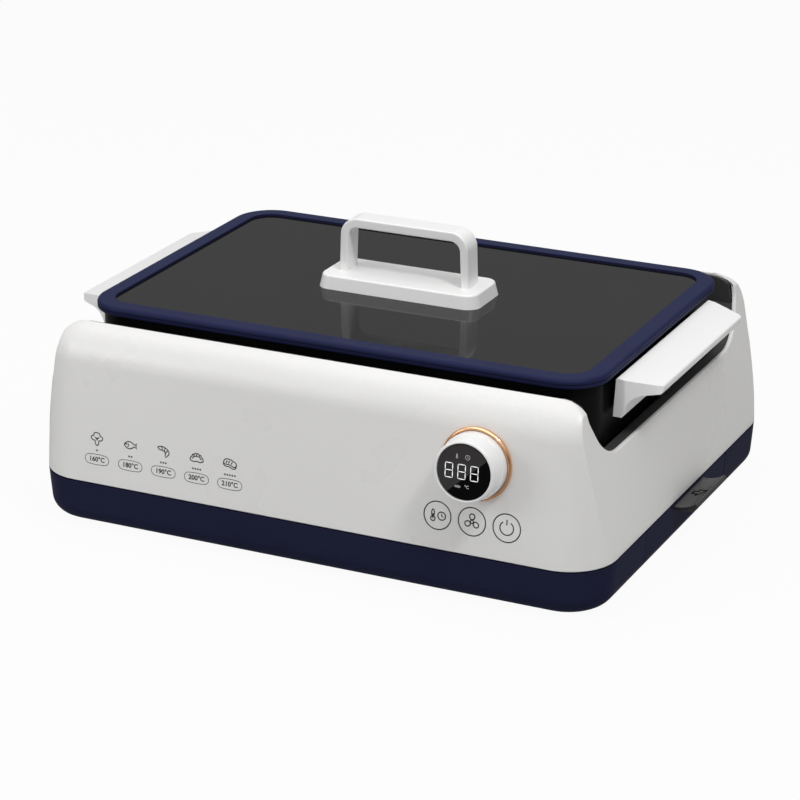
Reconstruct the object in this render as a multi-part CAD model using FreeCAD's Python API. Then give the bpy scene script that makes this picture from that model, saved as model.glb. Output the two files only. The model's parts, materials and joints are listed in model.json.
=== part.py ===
import FreeCAD, Part
import math
import os

from FreeCAD import Vector

# Countertop electric grill with a lift-off lid, a lift-out pan, a drip drawer at the right end and a
# smoke fan at the back. Millimetres, +Z up, front towards -Y, drawer towards +X. The pieces are laid
# out about the middle of the casing, and the finished assembly is moved so that its origin is the
# middle of its footprint on the table.

# Casing
BODY_LENGTH = 420.0
BODY_WIDTH = 330.0
BODY_CORNER = 34.0
FOOT_HEIGHT = 3.0
BASE_HEIGHT = 33.0
BASE_DRAFT = 2.5
BASE_EDGE_ROUND = 13.0
WALL = 3.0
SHELL_HEIGHT = 109.2
WALL_LEAN = 4.5
END_TAPER = 1.0
SHOULDER_ROUND = 29.0
END_LEAN = 11.75
END_OUTSET = 1.0
LIP_HEIGHT = 3.0
LIP_WALL = 1.6
LIP_GAP = 0.5
SEAM_GROOVE = 0.9
SEAM_DEPTH = 1.3
SHELL_FOOT_ROUND = 0.9

# Air slots in the floor
VENT_ROWS = 6
VENT_PITCH = 10.0
VENT_LENGTH = 44.0
VENT_WIDTH = 3.2

# Mouth of the shell and the dip in its end walls
MOUTH_INSET = 26.0
MOUTH_DROP = 1.6
MOUTH_END_INSET = 36.0
MOUTH_END_ROUND = 21.0
NOTCH_FLOOR = 64.0
NOTCH_SIDE_RUN = 18.0
NOTCH_SIDE_LEAN = 30.0
NOTCH_ROUND = 36.0
NOTCH_TOP_ROUND = 18.0

# Inner well
LINER_GAP = 0.6
LINER_DROP = 0.8
LINER_WALL = 2.6
LINER_EDGE_DROP = 1.4
FLANGE_WIDTH = 6.5
WELL_CORNER = 30.0
WELL_FLOOR = 28.0
REST_LENGTH = 24.0
REST_DEPTH = 9.0
REST_END_INSET = 34.0
REST_SIDE_INSET = 19.0
REST_PEG = 2.5

# Pan and its handles
PAN_END_GAP = 4.0
PAN_SIDE_GAP = 15.4
PAN_DROP = 2.0
PAN_HEIGHT = 52.0
PAN_CORNER = 24.5
PAN_WALL = 3.5
PAN_FLOOR = 4.5
PAN_EDGE_ROUND = 8.0
RIDGE_PITCH = 16.0
RIDGE_WIDTH = 4.0
RIDGE_HEIGHT = 2.5
DRAIN_RADIUS = 6.0
SPOUT_WALL = 3.0
SPOUT_LENGTH = 6.0
HANDLE_REACH = 34.0
HANDLE_INNER_WIDTH = 172.0
HANDLE_OUTER_WIDTH = 152.0
HANDLE_LIP = 5.4
HANDLE_SCOOP_RUN = 4.5
HANDLE_SCOOP_DROP = 2.0
HANDLE_SCOOP_ROUND = 13.0
HANDLE_SLOPE = 4.5
HANDLE_DEPTH = 26.7
HANDLE_WALL = 6.0
LUG_REACH = 3.5
LUG_WIDTH = 18.0
LUG_SPREAD = 96.0

# Lid
LID_OVERHANG = 4.7
LID_CORNER = 29.0
RIM_HEIGHT = 6.7
RIM_WIDTH = 12.5
RIM_GRIP = 6.5
RIM_FLOOR = 1.2
RIM_ROUND = 2.8
RIM_GROOVE = 0.6
GLASS_THICKNESS = 4.0
GASKET_DEPTH = 3.0
GASKET_WIDTH = 4.0
GASKET_GAP = 0.5
PLATE_LENGTH = 122.0
PLATE_WIDTH = 47.0
PLATE_HEIGHT = 9.6
PLATE_CORNER = 10.0
PLATE_DRAFT = 2.0
PLATE_ROUND = 1.6
BAIL_WIDTH = 98.4
BAIL_HEIGHT = 39.0
BAIL_DEPTH = 17.0
BAIL_LEG = 5.8
BAIL_BAR = 6.6
BAIL_LEAN = 1.2
BAIL_CORNER = 13.0
BAIL_EDGE_ROUND = 1.0
BAIL_THREAD = 17.0

# Drip drawer
DRAWER_SIDE = 88.0
DRAWER_GAP = 0.5
DRAWER_SILL = 5.0
DRAWER_FRONT_DEPTH = 7.0
TRAY_LENGTH = 290.0
TRAY_SIDE_GAP = 7.0
TRAY_WALL = 1.8
TRAY_HEADROOM = 5.0
TRAY_CORNER = 8.0
RUNNER_LEDGE = 6.0
RUNNER_THICKNESS = 2.0
RUNNER_HEIGHT = 12.0
RUNNER_GAP = 0.3
PULL_WIDTH = 57.4
PULL_REACH = 17.7
PULL_THICKNESS = 3.0
PULL_RISE = 3.0
PULL_SINK = 0.9

# Dial
DIAL_X = 124.0
DIAL_UP = 62.7
KNOB_REACH = 21.2
KNOB_RADIUS = 22.2
KNOB_FRONT_RADIUS = 20.7
KNOB_SHOULDER = 8.5
KNOB_TAIL = 8.6
KNOB_TAIL_WALL = 2.5
HUB_RADIUS = 15.0
HUB_WALL = 3.0
RUNNING_GAP = 0.05
CLEAR_GAP = 0.4
WINDOW_RADIUS = 18.4
WINDOW_THICKNESS = 3.2
WINDOW_RECESS = 0.6
RING_WIDTH = 2.0
RING_THICKNESS = 3.0
BOARD_DEPTH = 12.0
BOARD_THICKNESS = 1.6
BOARD_WIDTH = 70.0
BOARD_FOOT = 9.0
BOARD_HEIGHT = 80.0
KEY_UP = 23.5
KEY_PITCH = 23.6
KEY_SPRING_RADIUS = 6.0
KEY_SPRING_WIRE = 1.0

# Heating and drain
ELEMENT_RADIUS = 3.5
ELEMENT_PAN_GAP = 0.35
ELEMENT_SIDE_INSET = 40.4
ELEMENT_INNER_RUN = 28.0
ELEMENT_END_INSET = 33.6
ELEMENT_BEND = 12.0
ELEMENT_TAIL = 8.0
CLIP_GAP = 0.15
CLIP_SPREAD = 140.0
CLIP_WIDTH = 6.0
CLIP_CHEEK = 2.0
REFLECTOR_MARGIN = 16.0
REFLECTOR_CORNER = 20.0
SPACER_INSET = 20.0
CUTOUT_INSET = 50.0
CUTOUT_RADIUS = 7.0
CUTOUT_HEIGHT = 7.0
REFLECTOR_RISE = 10.0
REFLECTOR_DEPTH = 8.0
REFLECTOR_SHEET = 0.8
FUNNEL_RADIUS = 13.0
FUNNEL_NECK = 7.0
FUNNEL_WALL = 2.0
SENSOR_X = 60.0
SENSOR_RADIUS = 8.0
SENSOR_STEM = 4.0

# Smoke fan
FAN_X = -90.0
FAN_BACK = 57.0
FAN_RADIUS = 40.0
FAN_LOW = 4.0
FAN_HEIGHT = 20.0
FAN_WALL = 2.0
IMPELLER_RADIUS = 33.0
IMPELLER_HEIGHT = 13.0
BLADE_COUNT = 16
SHAFT_RADIUS = 2.0
MOTOR_RADIUS = 17.0
DUCT_WIDTH = 36.0
GRILLE_SLOTS = 7

# Mains inlet at the back
INLET_X = 120.0
INLET_UP = 18.0
INLET_WIDTH = 28.0
INLET_HEIGHT = 21.0
INLET_DEPTH = 20.0
INLET_WALL = 2.0
INLET_MOUTH = 8.0

# Fastenings
SCREW_RADIUS = 1.5
SCREW_HEAD_RADIUS = 3.6
SCREW_HEAD_HEIGHT = 2.4
SCREW_TIP_GAP = 1.0
POST_RADIUS = 5.0
POST_HEIGHT = 18.0
FOOT_RADIUS = 12.0
FOOT_STEM = 3.0
THREAD_GAP = 0.1
END_POST_INSET = 20.0
END_POST_SIDE = 50.0
SIDE_POST_INSET = 15.0
LEG_END_INSET = 70.0
LEG_SIDE_INSET = 60.0
LEG_THREAD = 14.0
FOOT_END_INSET = 45.0
FOOT_SIDE_INSET = 43.0

# Power board
POWER_BOARD_X = -125.0
POWER_BOARD_LENGTH = 100.0
POWER_BOARD_DEPTH = 64.0
POWER_BOARD_INSET = 14.0
POWER_BOARD_RISE = 8.0
POWER_SCREW_INSET = 6.0
POWER_SCREW_RADIUS = 1.2
POWER_SCREW_HEAD = 2.8
POWER_SCREW_RISE = 1.6
RELAY_LENGTH = 20.0
RELAY_WIDTH = 16.0
RELAY_HEIGHT = 16.0
COIL_LENGTH = 26.0
COIL_WIDTH = 24.0
COIL_HEIGHT = 20.0
CAN_RADIUS = 6.0
FILM_WIDTH = 12.0
FILM_HEIGHT = 13.0
CLAMP_LENGTH = 11.0
CLAMP_WIDTH = 16.0
CLAMP_HEIGHT = 10.0
PART_GAP = 6.0

# Values that follow from the sizes above
half_length = BODY_LENGTH / 2
half_width = BODY_WIDTH / 2
seam_z = FOOT_HEIGHT + BASE_HEIGHT
floor_z = FOOT_HEIGHT + WALL
shell_top = seam_z + SHELL_HEIGHT
end_slope = math.tan(math.radians(END_LEAN))
wall_slope = math.tan(math.radians(WALL_LEAN))
mouth_half = half_width - MOUTH_INSET
mouth_edge_z = shell_top - MOUTH_DROP
notch_floor_z = seam_z + NOTCH_FLOOR
notch_floor_half = mouth_half - NOTCH_SIDE_RUN


def end_x(height, inset):
    """Where the slanted end plane, moved in by inset, stands at a height."""
    lean = math.radians(END_LEAN)
    return half_length + END_OUTSET - (height - seam_z) * end_slope - inset / math.cos(lean)


well_floor_z = seam_z + WELL_FLOOR
well_half_length = end_x(notch_floor_z, WALL + LINER_GAP) - FLANGE_WIDTH
well_half_width = mouth_half - LINER_GAP - LINER_WALL
pan_half_length = well_half_length - PAN_END_GAP
pan_half_width = well_half_width - PAN_SIDE_GAP
pan_top = shell_top - PAN_DROP
pan_bottom = pan_top - PAN_HEIGHT
lid_half_length = pan_half_length + LID_OVERHANG
lid_half_width = pan_half_width + LID_OVERHANG
glass_low = pan_top + RIM_FLOOR
glass_top = glass_low + GLASS_THICKNESS
plate_top = glass_top + PLATE_HEIGHT
bail_top = plate_top + BAIL_HEIGHT
reflector_z = well_floor_z + REFLECTOR_RISE
element_z = pan_bottom - ELEMENT_PAN_GAP - ELEMENT_RADIUS
tray_low = floor_z + RUNNER_THICKNESS + RUNNER_GAP
tray_top = seam_z - TRAY_HEADROOM
drawer_face = half_length - DRAWER_FRONT_DEPTH
drawer_half = half_width - DRAWER_SIDE
tray_half = drawer_half - TRAY_SIDE_GAP
element_end = pan_half_length - ELEMENT_END_INSET
element_side = pan_half_width - ELEMENT_SIDE_INSET
spacer_x = element_end - SPACER_INSET
spacer_y = (element_side + ELEMENT_INNER_RUN) / 2
fan_y = half_width - FAN_BACK
fan_low = seam_z + FAN_LOW
fan_top = fan_low + FAN_HEIGHT
well_underside = well_floor_z - LINER_WALL

CORNERS = ((1, 1), (-1, 1), (-1, -1), (1, -1))
NODES = {}


def node(name, *shapes):
    """Keeps one or more solids as a named piece."""
    NODES[name] = shapes[0] if len(shapes) == 1 else Part.makeCompound(list(shapes))


def arc_corner(before, corner, after, radius):
    """Start, middle and end of the arc that rounds a corner."""
    back = (before - corner).normalize()
    ahead = (after - corner).normalize()
    half = back.getAngle(ahead) / 2
    reach = radius / math.tan(half)
    bisector = (back + ahead).normalize()
    middle = corner + bisector * (radius / math.sin(half) - radius)
    return corner + back * reach, middle, corner + ahead * reach


def rounded_path(points, radii, closed=False):
    """Wire of straight runs with a tangent arc at each corner that has a radius."""
    count = len(points)
    corners = []
    for index, point in enumerate(points):
        if radii[index] > 0 and (closed or 0 < index < count - 1):
            before = points[index - 1]
            after = points[(index + 1) % count]
            corners.append(arc_corner(before, point, after, radii[index]))
        else:
            corners.append((point, None, point))
    edges = []
    for index, (start, middle, end) in enumerate(corners):
        if middle is not None:
            edges.append(Part.Arc(start, middle, end).toShape())
        following = corners[(index + 1) % count][0]
        joined = index + 1 < count or closed
        if joined and end.distanceToPoint(following) > 1e-6:
            edges.append(Part.LineSegment(end, following).toShape())
    return Part.Wire(edges)


def prism(points, radii, direction):
    """Solid swept straight from a closed outline with rounded corners."""
    return Part.Face(rounded_path(points, radii, closed=True)).extrude(direction)


def outline(half_x, half_y, radius, z):
    """Closed rounded rectangle about the vertical axis."""
    points = [Vector(sx * half_x, sy * half_y, z) for sx, sy in CORNERS]
    return rounded_path(points, [radius] * 4, closed=True)


def slab(half_x, half_y, radius, low, high):
    """Upright prism with rounded corners."""
    return Part.Face(outline(half_x, half_y, radius, low)).extrude(Vector(0, 0, high - low))


def block(x0, x1, y0, y1, z0, z1):
    """Box between two corners."""
    return Part.makeBox(x1 - x0, y1 - y0, z1 - z0, Vector(x0, y0, z0))


def post(x, y, low, high, radius):
    """Upright round post."""
    return Part.makeCylinder(radius, high - low, Vector(x, y, low))


def ring(x, y, low, high, outer, inner):
    """Upright tube."""
    return post(x, y, low, high, outer).cut(post(x, y, low, high, inner))


def turned(points):
    """Solid turned about the vertical axis from radius and height pairs."""
    profile = Part.makePolygon([Vector(r, 0, z) for r, z in points + points[:1]])
    return Part.Face(profile).revolve(Vector(0, 0, 0), Vector(0, 0, 1), 360)


def join(shapes):
    """One solid from several that touch or overlap."""
    return shapes[0].multiFuse(shapes[1:]).removeSplitter()


def mirrored(shape):
    """The same shape at the other end of the casing."""
    return shape.mirror(Vector(0, 0, 0), Vector(1, 0, 0))


def edges_at(solid, z):
    """Edges that lie level at a height."""
    level = []
    for edge in solid.Edges:
        box = edge.BoundBox
        if abs(box.ZMin - z) < 1e-4 and abs(box.ZMax - z) < 1e-4:
            level.append(edge)
    return level


def screw(x, y, head_low, shaft_high):
    """Upright screw with its head below."""
    head = post(x, y, head_low, head_low + SCREW_HEAD_HEIGHT, SCREW_HEAD_RADIUS)
    shaft = post(x, y, head_low, shaft_high, SCREW_RADIUS)
    return join([head, shaft])


def wall_matrix(x, up, side):
    """Frame on the sloping front (side -1) or back (side 1) wall: Z points out and Y up the wall."""
    lean = math.radians(WALL_LEAN)
    right = Vector(-side, 0, 0)
    upward = Vector(0, -side * math.sin(lean), math.cos(lean))
    outward = Vector(0, side * math.cos(lean), math.sin(lean))
    spot = Vector(x, side * half_width, seam_z) + upward * up
    rows = []
    for axis in ("x", "y", "z"):
        rows += [getattr(vector, axis) for vector in (right, upward, outward, spot)]
    return FreeCAD.Matrix(*rows, 0, 0, 0, 1)


def on_wall(shape, x, up, side=-1):
    """A shape moved from its own axes to a place on a sloping wall."""
    return shape.transformed(wall_matrix(x, up, side))


# Envelopes of the casing


def base_envelope(inset):
    """Outside of the lower casing, moved in by inset."""
    low = FOOT_HEIGHT + inset
    drawn_in = BASE_DRAFT + inset
    foot = outline(half_length - drawn_in, half_width - drawn_in, BODY_CORNER - drawn_in, low)
    seam = outline(half_length - inset, half_width - inset, BODY_CORNER - inset, seam_z)
    solid = Part.makeLoft([foot, seam], True, True)
    return solid.makeFillet(BASE_EDGE_ROUND - inset, edges_at(solid, low))


def end_wedge(inset):
    """Space between the two slanted end planes, moved in by inset."""
    low = FOOT_HEIGHT
    high = shell_top + WALL
    low_x = end_x(low, inset)
    high_x = end_x(high, inset)
    corners = [(low_x, low), (high_x, high), (-high_x, high), (-low_x, low)]
    points = [Vector(x, -half_width, z) for x, z in corners]
    return prism(points, [0] * 4, Vector(0, BODY_WIDTH, 0))


def shell_envelope(inset):
    """Outside of the upper casing, moved in by inset."""
    height = SHELL_HEIGHT - inset
    x_low = half_length - inset
    y_low = half_width - inset
    x_high = x_low - height * math.tan(math.radians(END_TAPER))
    y_high = y_low - height * wall_slope
    corner = BODY_CORNER - inset
    seam = outline(x_low, y_low, corner, seam_z)
    top = outline(x_high, y_high, corner, seam_z + height)
    solid = Part.makeLoft([seam, top], True, True)
    rounded = solid.makeFillet(SHOULDER_ROUND - inset, edges_at(solid, seam_z + height))
    if inset == 0:
        rounded = rounded.makeFillet(SHELL_FOOT_ROUND, edges_at(rounded, seam_z))
    return rounded.common(end_wedge(inset))


def saddle(half_top, drop, limit):
    """Side view of the mouth: straight sides that slant in to the floor of the dip.

    The outline closes at limit, above it for a cutter or below it for a solid.
    """
    lean = math.radians(NOTCH_SIDE_LEAN)
    floor = notch_floor_z - drop
    floor_half = notch_floor_half + drop * math.tan((math.pi / 2 - lean) / 2)
    bend = floor + (half_top - floor_half) / math.tan(lean)
    corners = [(-half_top, limit), (-half_top, bend), (-floor_half, floor)]
    corners += [(-y, z) for y, z in reversed(corners)]
    radii = [0, NOTCH_TOP_ROUND, NOTCH_ROUND, NOTCH_ROUND, NOTCH_TOP_ROUND, 0]
    if limit < bend:
        radii[1] = 0
        radii[4] = 0
    points = [Vector(-half_length, y, z) for y, z in corners]
    return prism(points, radii, Vector(BODY_LENGTH, 0, 0))


def mouth_end_cut(trim):
    """Cutter that rounds the top of the front and back walls where they reach one end."""
    start = half_length - MOUTH_END_INSET
    level = mouth_edge_z - trim
    radius = MOUTH_END_ROUND - trim
    far = half_length + WALL
    high = shell_top + WALL
    slant = radius * math.sqrt(0.5)
    bow = Vector(start + slant, -half_width, level - radius + slant)
    begin = Vector(start, -half_width, level)
    finish = Vector(start + radius, -half_width, level - radius)
    rest = [finish, Vector(far, -half_width, finish.z), Vector(far, -half_width, high)]
    rest += [Vector(start, -half_width, high), begin]
    edges = [Part.Arc(begin, bow, finish).toShape()]
    for first, second in zip(rest, rest[1:]):
        edges.append(Part.LineSegment(first, second).toShape())
    return Part.Face(Part.Wire(edges)).extrude(Vector(0, BODY_WIDTH, 0))


def mouth_cut(trim):
    """Both end cutters."""
    cutter = mouth_end_cut(trim)
    return [cutter, mirrored(cutter)]


# Places of posts, feet and screws
end_post_x = half_length - END_POST_INSET
end_post_y = half_width - END_POST_SIDE
side_post_y = half_width - SIDE_POST_INSET
SHELL_POSTS = [(sx * end_post_x, sy * end_post_y) for sx, sy in CORNERS]
SHELL_POSTS += [(0.0, side_post_y), (0.0, -side_post_y)]
leg_x = half_length - LEG_END_INSET
leg_y = half_width - LEG_SIDE_INSET
LINER_LEGS = [(sx * leg_x, sy * leg_y) for sx, sy in CORNERS]
foot_x = half_length - FOOT_END_INSET
foot_y = half_width - FOOT_SIDE_INSET
FEET = [(sx * foot_x, sy * foot_y) for sx, sy in CORNERS]
screw_head_z = floor_z
board_post_z = floor_z + POWER_BOARD_RISE
power_board_x = (POWER_BOARD_X, POWER_BOARD_X + POWER_BOARD_LENGTH)
power_board_y = (-half_width + POWER_BOARD_INSET, -half_width + POWER_BOARD_INSET + POWER_BOARD_DEPTH)
POWER_POSTS = []
for post_x in (power_board_x[0] + POWER_SCREW_INSET, power_board_x[1] - POWER_SCREW_INSET):
    for post_y in (power_board_y[0] + POWER_SCREW_INSET, power_board_y[1] - POWER_SCREW_INSET):
        POWER_POSTS.append((post_x, post_y))


def seam_groove():
    """Shadow line round the lower casing, just under the shell."""
    low = seam_z - SEAM_GROOVE
    around = slab(half_length + WALL, half_width + WALL, BODY_CORNER + WALL, low, seam_z)
    kept = slab(half_length - SEAM_DEPTH, half_width - SEAM_DEPTH, BODY_CORNER - SEAM_DEPTH, low, seam_z)
    return around.cut(kept)


def build_base():
    """Lower casing: floor, walls, seam lip, screw posts, drawer way and vents."""
    outer = base_envelope(0)
    tray = outer.cut(base_envelope(WALL))
    lip_low = seam_z - 2 * LIP_HEIGHT
    lip_high = seam_z + LIP_HEIGHT
    lip_out = WALL + LIP_GAP
    lip_in = lip_out + LIP_WALL
    lip = slab(half_length - lip_out, half_width - lip_out, BODY_CORNER - lip_out, seam_z, lip_high)
    web = slab(half_length - WALL / 2, half_width - WALL / 2, BODY_CORNER - WALL / 2, lip_low, seam_z)
    web = web.common(base_envelope(WALL / 2))
    bore = slab(half_length - lip_in, half_width - lip_in, BODY_CORNER - lip_in, lip_low, lip_high)
    parts = [tray, lip.cut(bore), web.cut(bore)]
    for x, y in SHELL_POSTS:
        parts.append(post(x, y, FOOT_HEIGHT + WALL / 2, seam_z, POST_RADIUS))
    for x, y in LINER_LEGS:
        parts.append(post(x, y, FOOT_HEIGHT + WALL / 2, board_post_z, POST_RADIUS))
    for x, y in POWER_POSTS:
        parts.append(post(x, y, FOOT_HEIGHT + WALL / 2, board_post_z, POST_RADIUS - 1.0))
    parts.append(post(FAN_X, fan_y, FOOT_HEIGHT + WALL / 2, floor_z + 2.0, MOTOR_RADIUS + 3.0))
    base = join(parts)
    way = block(drawer_face - 2 * WALL, half_length + WALL, -drawer_half, drawer_half,
                FOOT_HEIGHT + DRAWER_SILL, lip_high + 1.0)
    cuts = [way, seam_groove()]
    for x, y in SHELL_POSTS + LINER_LEGS:
        cuts.append(post(x, y, FOOT_HEIGHT, seam_z, SCREW_RADIUS + CLEAR_GAP))
        recess_top = screw_head_z + SCREW_HEAD_HEIGHT
        cuts.append(post(x, y, FOOT_HEIGHT, recess_top, SCREW_HEAD_RADIUS + CLEAR_GAP))
    for x, y in FEET:
        cuts.append(post(x, y, FOOT_HEIGHT, floor_z, FOOT_STEM + 0.1))
    for row in range(VENT_ROWS):
        y = fan_y + (row - (VENT_ROWS - 1) / 2) * VENT_PITCH
        for column in (1, 2):
            x = FAN_X + column * (VENT_LENGTH + VENT_PITCH)
            slot = block(-VENT_LENGTH / 2, VENT_LENGTH / 2, -VENT_WIDTH / 2, VENT_WIDTH / 2,
                         FOOT_HEIGHT, floor_z)
            slot.translate(Vector(x, y, 0))
            cuts.append(slot)
    return base.cut(Part.makeCompound(cuts))


def build_feet():
    """Rubber feet: a tread, a stem through the floor and a bead that holds it."""
    bead = 1.5
    feet = []
    for x, y in FEET:
        tread = Part.makeCone(FOOT_RADIUS - 1.0, FOOT_RADIUS, FOOT_HEIGHT, Vector(x, y, 0))
        stem = post(x, y, FOOT_HEIGHT, floor_z + bead, FOOT_STEM)
        head = post(x, y, floor_z, floor_z + bead, FOOT_STEM + bead)
        feet.append(join([tread, stem, head]))
    return feet


def shell_post(x, y):
    """Screw post hung from the shell's wall by a rib."""
    high = seam_z + POST_HEIGHT
    rib_low = seam_z + LIP_HEIGHT + 1.0
    rib_half = 1.25
    core = post(x, y, seam_z, high, POST_RADIUS)
    if abs(y) < side_post_y:
        reach = math.copysign(half_length, x)
        rib = block(min(x, reach), max(x, reach), y - rib_half, y + rib_half, rib_low, high)
    else:
        reach = math.copysign(half_width, y)
        rib = block(x - rib_half, x + rib_half, min(y, reach), max(y, reach), rib_low, high)
    return join([core, rib]).common(shell_envelope(WALL / 2))


def board_posts():
    """Places of the control board's posts, on the wall's own axes about the dial."""
    inset = 6.0
    spread = BOARD_WIDTH / 2 - inset
    low = BOARD_FOOT + inset - DIAL_UP
    high = BOARD_FOOT + BOARD_HEIGHT - inset - DIAL_UP
    return [(sx * spread, up) for sx in (-1, 1) for up in (low, high)]


board_post_radius = 3.0
tail_radius = HUB_RADIUS + RUNNING_GAP + KNOB_TAIL_WALL
grille_x = FAN_X + FAN_RADIUS - DUCT_WIDTH / 2
grille_up = FAN_LOW + FAN_HEIGHT / 2 + 1.0
grille_flange = 4.0
grille_high = FAN_HEIGHT - 2 * FAN_WALL


def build_shell():
    """Upper casing: leaning walls, rounded shoulder, mouth and dipped ends."""
    shell = shell_envelope(0).cut(shell_envelope(WALL))
    shell = shell.cut(saddle(mouth_half, 0.0, shell_top + WALL))
    for cutter in mouth_cut(0.0):
        shell = shell.cut(cutter)
    parts = [shell] + [shell_post(x, y) for x, y in SHELL_POSTS]
    for x, up in board_posts():
        stub = post(x, up, -BOARD_DEPTH, -WALL / 2, board_post_radius)
        parts.append(on_wall(stub, DIAL_X, DIAL_UP))
    shell = join(parts)
    cuts = [on_wall(post(0, 0, -WALL * 2, WALL, tail_radius + CLEAR_GAP), DIAL_X, DIAL_UP)]
    for x, up in board_posts():
        pilot = post(x, up, -BOARD_DEPTH, -WALL - 1.0, 1.1)
        cuts.append(on_wall(pilot, DIAL_X, DIAL_UP))
    for x, y in SHELL_POSTS:
        cuts.append(post(x, y, seam_z, seam_z + POST_HEIGHT - 3.0, SCREW_RADIUS + 0.1))
    gap = 0.2
    socket = block(-INLET_WIDTH / 2 - gap, INLET_WIDTH / 2 + gap, -INLET_HEIGHT / 2 - gap,
                   INLET_HEIGHT / 2 + gap, -WALL * 2, WALL)
    cuts.append(on_wall(socket, INLET_X, INLET_UP, 1))
    vent = block(-DUCT_WIDTH / 2, DUCT_WIDTH / 2, -grille_high / 2, grille_high / 2, -WALL * 2, WALL)
    cuts.append(on_wall(vent, grille_x, grille_up, 1))
    return shell.cut(Part.makeCompound(cuts))


def build_liner():
    """Black well inside the shell: saddle flanges at the ends, walls, floor and legs."""
    outer_x = well_half_length + LINER_WALL
    outer_y = well_half_width + LINER_WALL
    outer_corner = WELL_CORNER + LINER_WALL
    edge_z = mouth_edge_z - LINER_EDGE_DROP
    walls = slab(outer_x, outer_y, outer_corner, well_underside, edge_z)
    walls = walls.cut(saddle(well_half_width, LINER_DROP, shell_top + WALL))
    flange = saddle(outer_y, LINER_DROP, well_underside)
    flange = flange.cut(saddle(outer_y, LINER_DROP + LINER_WALL, well_underside))
    flange_x = well_half_length - WELL_CORNER - LINER_WALL
    flange = flange.cut(block(-flange_x, flange_x, -half_width, half_width, seam_z, shell_top))
    cheek_low = edge_z - 2 * NOTCH_TOP_ROUND
    cheeks = [block(-half_length, half_length, well_half_width, outer_y, cheek_low, edge_z)]
    cheeks.append(block(-half_length, half_length, -outer_y, -well_half_width, cheek_low, edge_z))
    liner = join([walls, flange] + cheeks).common(end_wedge(WALL + LINER_GAP))
    for cutter in mouth_cut(LINER_EDGE_DROP):
        liner = liner.cut(cutter)
    well = slab(well_half_length, well_half_width, WELL_CORNER, well_floor_z, shell_top)
    liner = liner.cut(well)
    parts = [liner]
    for x, y in LINER_LEGS:
        parts.append(post(x, y, board_post_z, well_underside + 1.0, POST_RADIUS))
    liner = join(parts)
    cuts = [post(0, 0, well_underside, well_floor_z, FUNNEL_NECK + FUNNEL_WALL + CLEAR_GAP)]
    for sy in (1, -1):
        passage = ELEMENT_RADIUS + CLEAR_GAP
        cuts.append(post(element_end, sy * element_side, well_underside, well_floor_z, passage))
    thread = SCREW_RADIUS + THREAD_GAP
    for sx, sy in CORNERS:
        cuts.append(post(sx * spacer_x, sy * spacer_y, well_underside, well_floor_z, thread))
        cuts.append(post(sx * rest_x, sy * rest_y, well_underside, well_floor_z, REST_PEG + THREAD_GAP))
    for x, y in LINER_LEGS:
        cuts.append(post(x, y, board_post_z, board_post_z + LEG_THREAD, thread))
    cuts.append(post(FAN_X, fan_y, well_underside, well_floor_z, fan_inlet))
    return liner.cut(Part.makeCompound(cuts))


rest_x = pan_half_length - REST_END_INSET
rest_y = pan_half_width - REST_SIDE_INSET + REST_DEPTH / 2
fan_inlet = IMPELLER_RADIUS * 0.62


def build_rests():
    """Blocks that carry the pan, each with a peg in the floor of the well."""
    rests = []
    for sx, sy in CORNERS:
        x, y = sx * rest_x, sy * rest_y
        body = block(x - REST_LENGTH / 2, x + REST_LENGTH / 2, y - REST_DEPTH / 2, y + REST_DEPTH / 2,
                     well_floor_z, pan_bottom)
        rests.append(join([body, post(x, y, well_underside, pan_bottom, REST_PEG)]))
    return rests


def build_pan():
    """Cast pan: ridged floor, drain spout and lugs that carry the handles."""
    body = slab(pan_half_length, pan_half_width, PAN_CORNER, pan_bottom, pan_top)
    body = body.makeFillet(PAN_EDGE_ROUND, edges_at(body, pan_bottom))
    inner_x = pan_half_length - PAN_WALL
    inner_y = pan_half_width - PAN_WALL
    inside_low = pan_bottom + PAN_FLOOR
    inside = slab(inner_x, inner_y, PAN_CORNER - PAN_WALL, inside_low, pan_top)
    inside = inside.makeFillet(PAN_EDGE_ROUND - 2.0, edges_at(inside, inside_low))
    pan = body.cut(inside)
    parts = [pan]
    run = inner_y - PAN_EDGE_ROUND - 4.0
    count = int((inner_x - PAN_EDGE_ROUND - 4.0) / RIDGE_PITCH)
    for index in range(-count, count + 1):
        x = index * RIDGE_PITCH
        base = inside_low - 1.0
        crest = inside_low + RIDGE_HEIGHT
        half = RIDGE_WIDTH / 2
        section = [(-half, base), (-half * 0.55, crest), (half * 0.55, crest), (half, base)]
        points = [Vector(x + px, -run, pz) for px, pz in section]
        parts.append(prism(points, [0, 0.6, 0.6, 0], Vector(0, 2 * run, 0)))
    spout_radius = DRAIN_RADIUS + SPOUT_WALL
    parts.append(post(0, 0, pan_bottom - SPOUT_LENGTH, pan_bottom + 1.0, spout_radius))
    for sx in (1, -1):
        for sy in (1, -1):
            lug = handle_lug(sy * LUG_SPREAD / 2)
            parts.append(lug if sx > 0 else mirrored(lug))
    pan = join(parts)
    dish_base = Vector(0, 0, inside_low - 0.5)
    dish = Part.makeCone(DRAIN_RADIUS, DRAIN_RADIUS * 2.2, RIDGE_HEIGHT + 1.0, dish_base)
    drain = post(0, 0, pan_bottom - SPOUT_LENGTH, inside_low, DRAIN_RADIUS)
    cuts = [dish, drain]
    for sx in (1, -1):
        for sy in (1, -1):
            pilot = handle_bore(sy * LUG_SPREAD / 2, SCREW_RADIUS + 0.1, LUG_REACH + 2.0)
            cuts.append(pilot if sx > 0 else mirrored(pilot))
    return pan.cut(Part.makeCompound(cuts))


handle_top = pan_top - 1.2
handle_bottom = handle_top - HANDLE_DEPTH
handle_inner_low = pan_half_length + LUG_REACH
handle_inner_high = handle_inner_low + 1.6
handle_outer = pan_half_length + HANDLE_REACH
screw_level = handle_bottom + 8.0
handle_seat = handle_inner_low + HANDLE_WALL + 1.0


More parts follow.
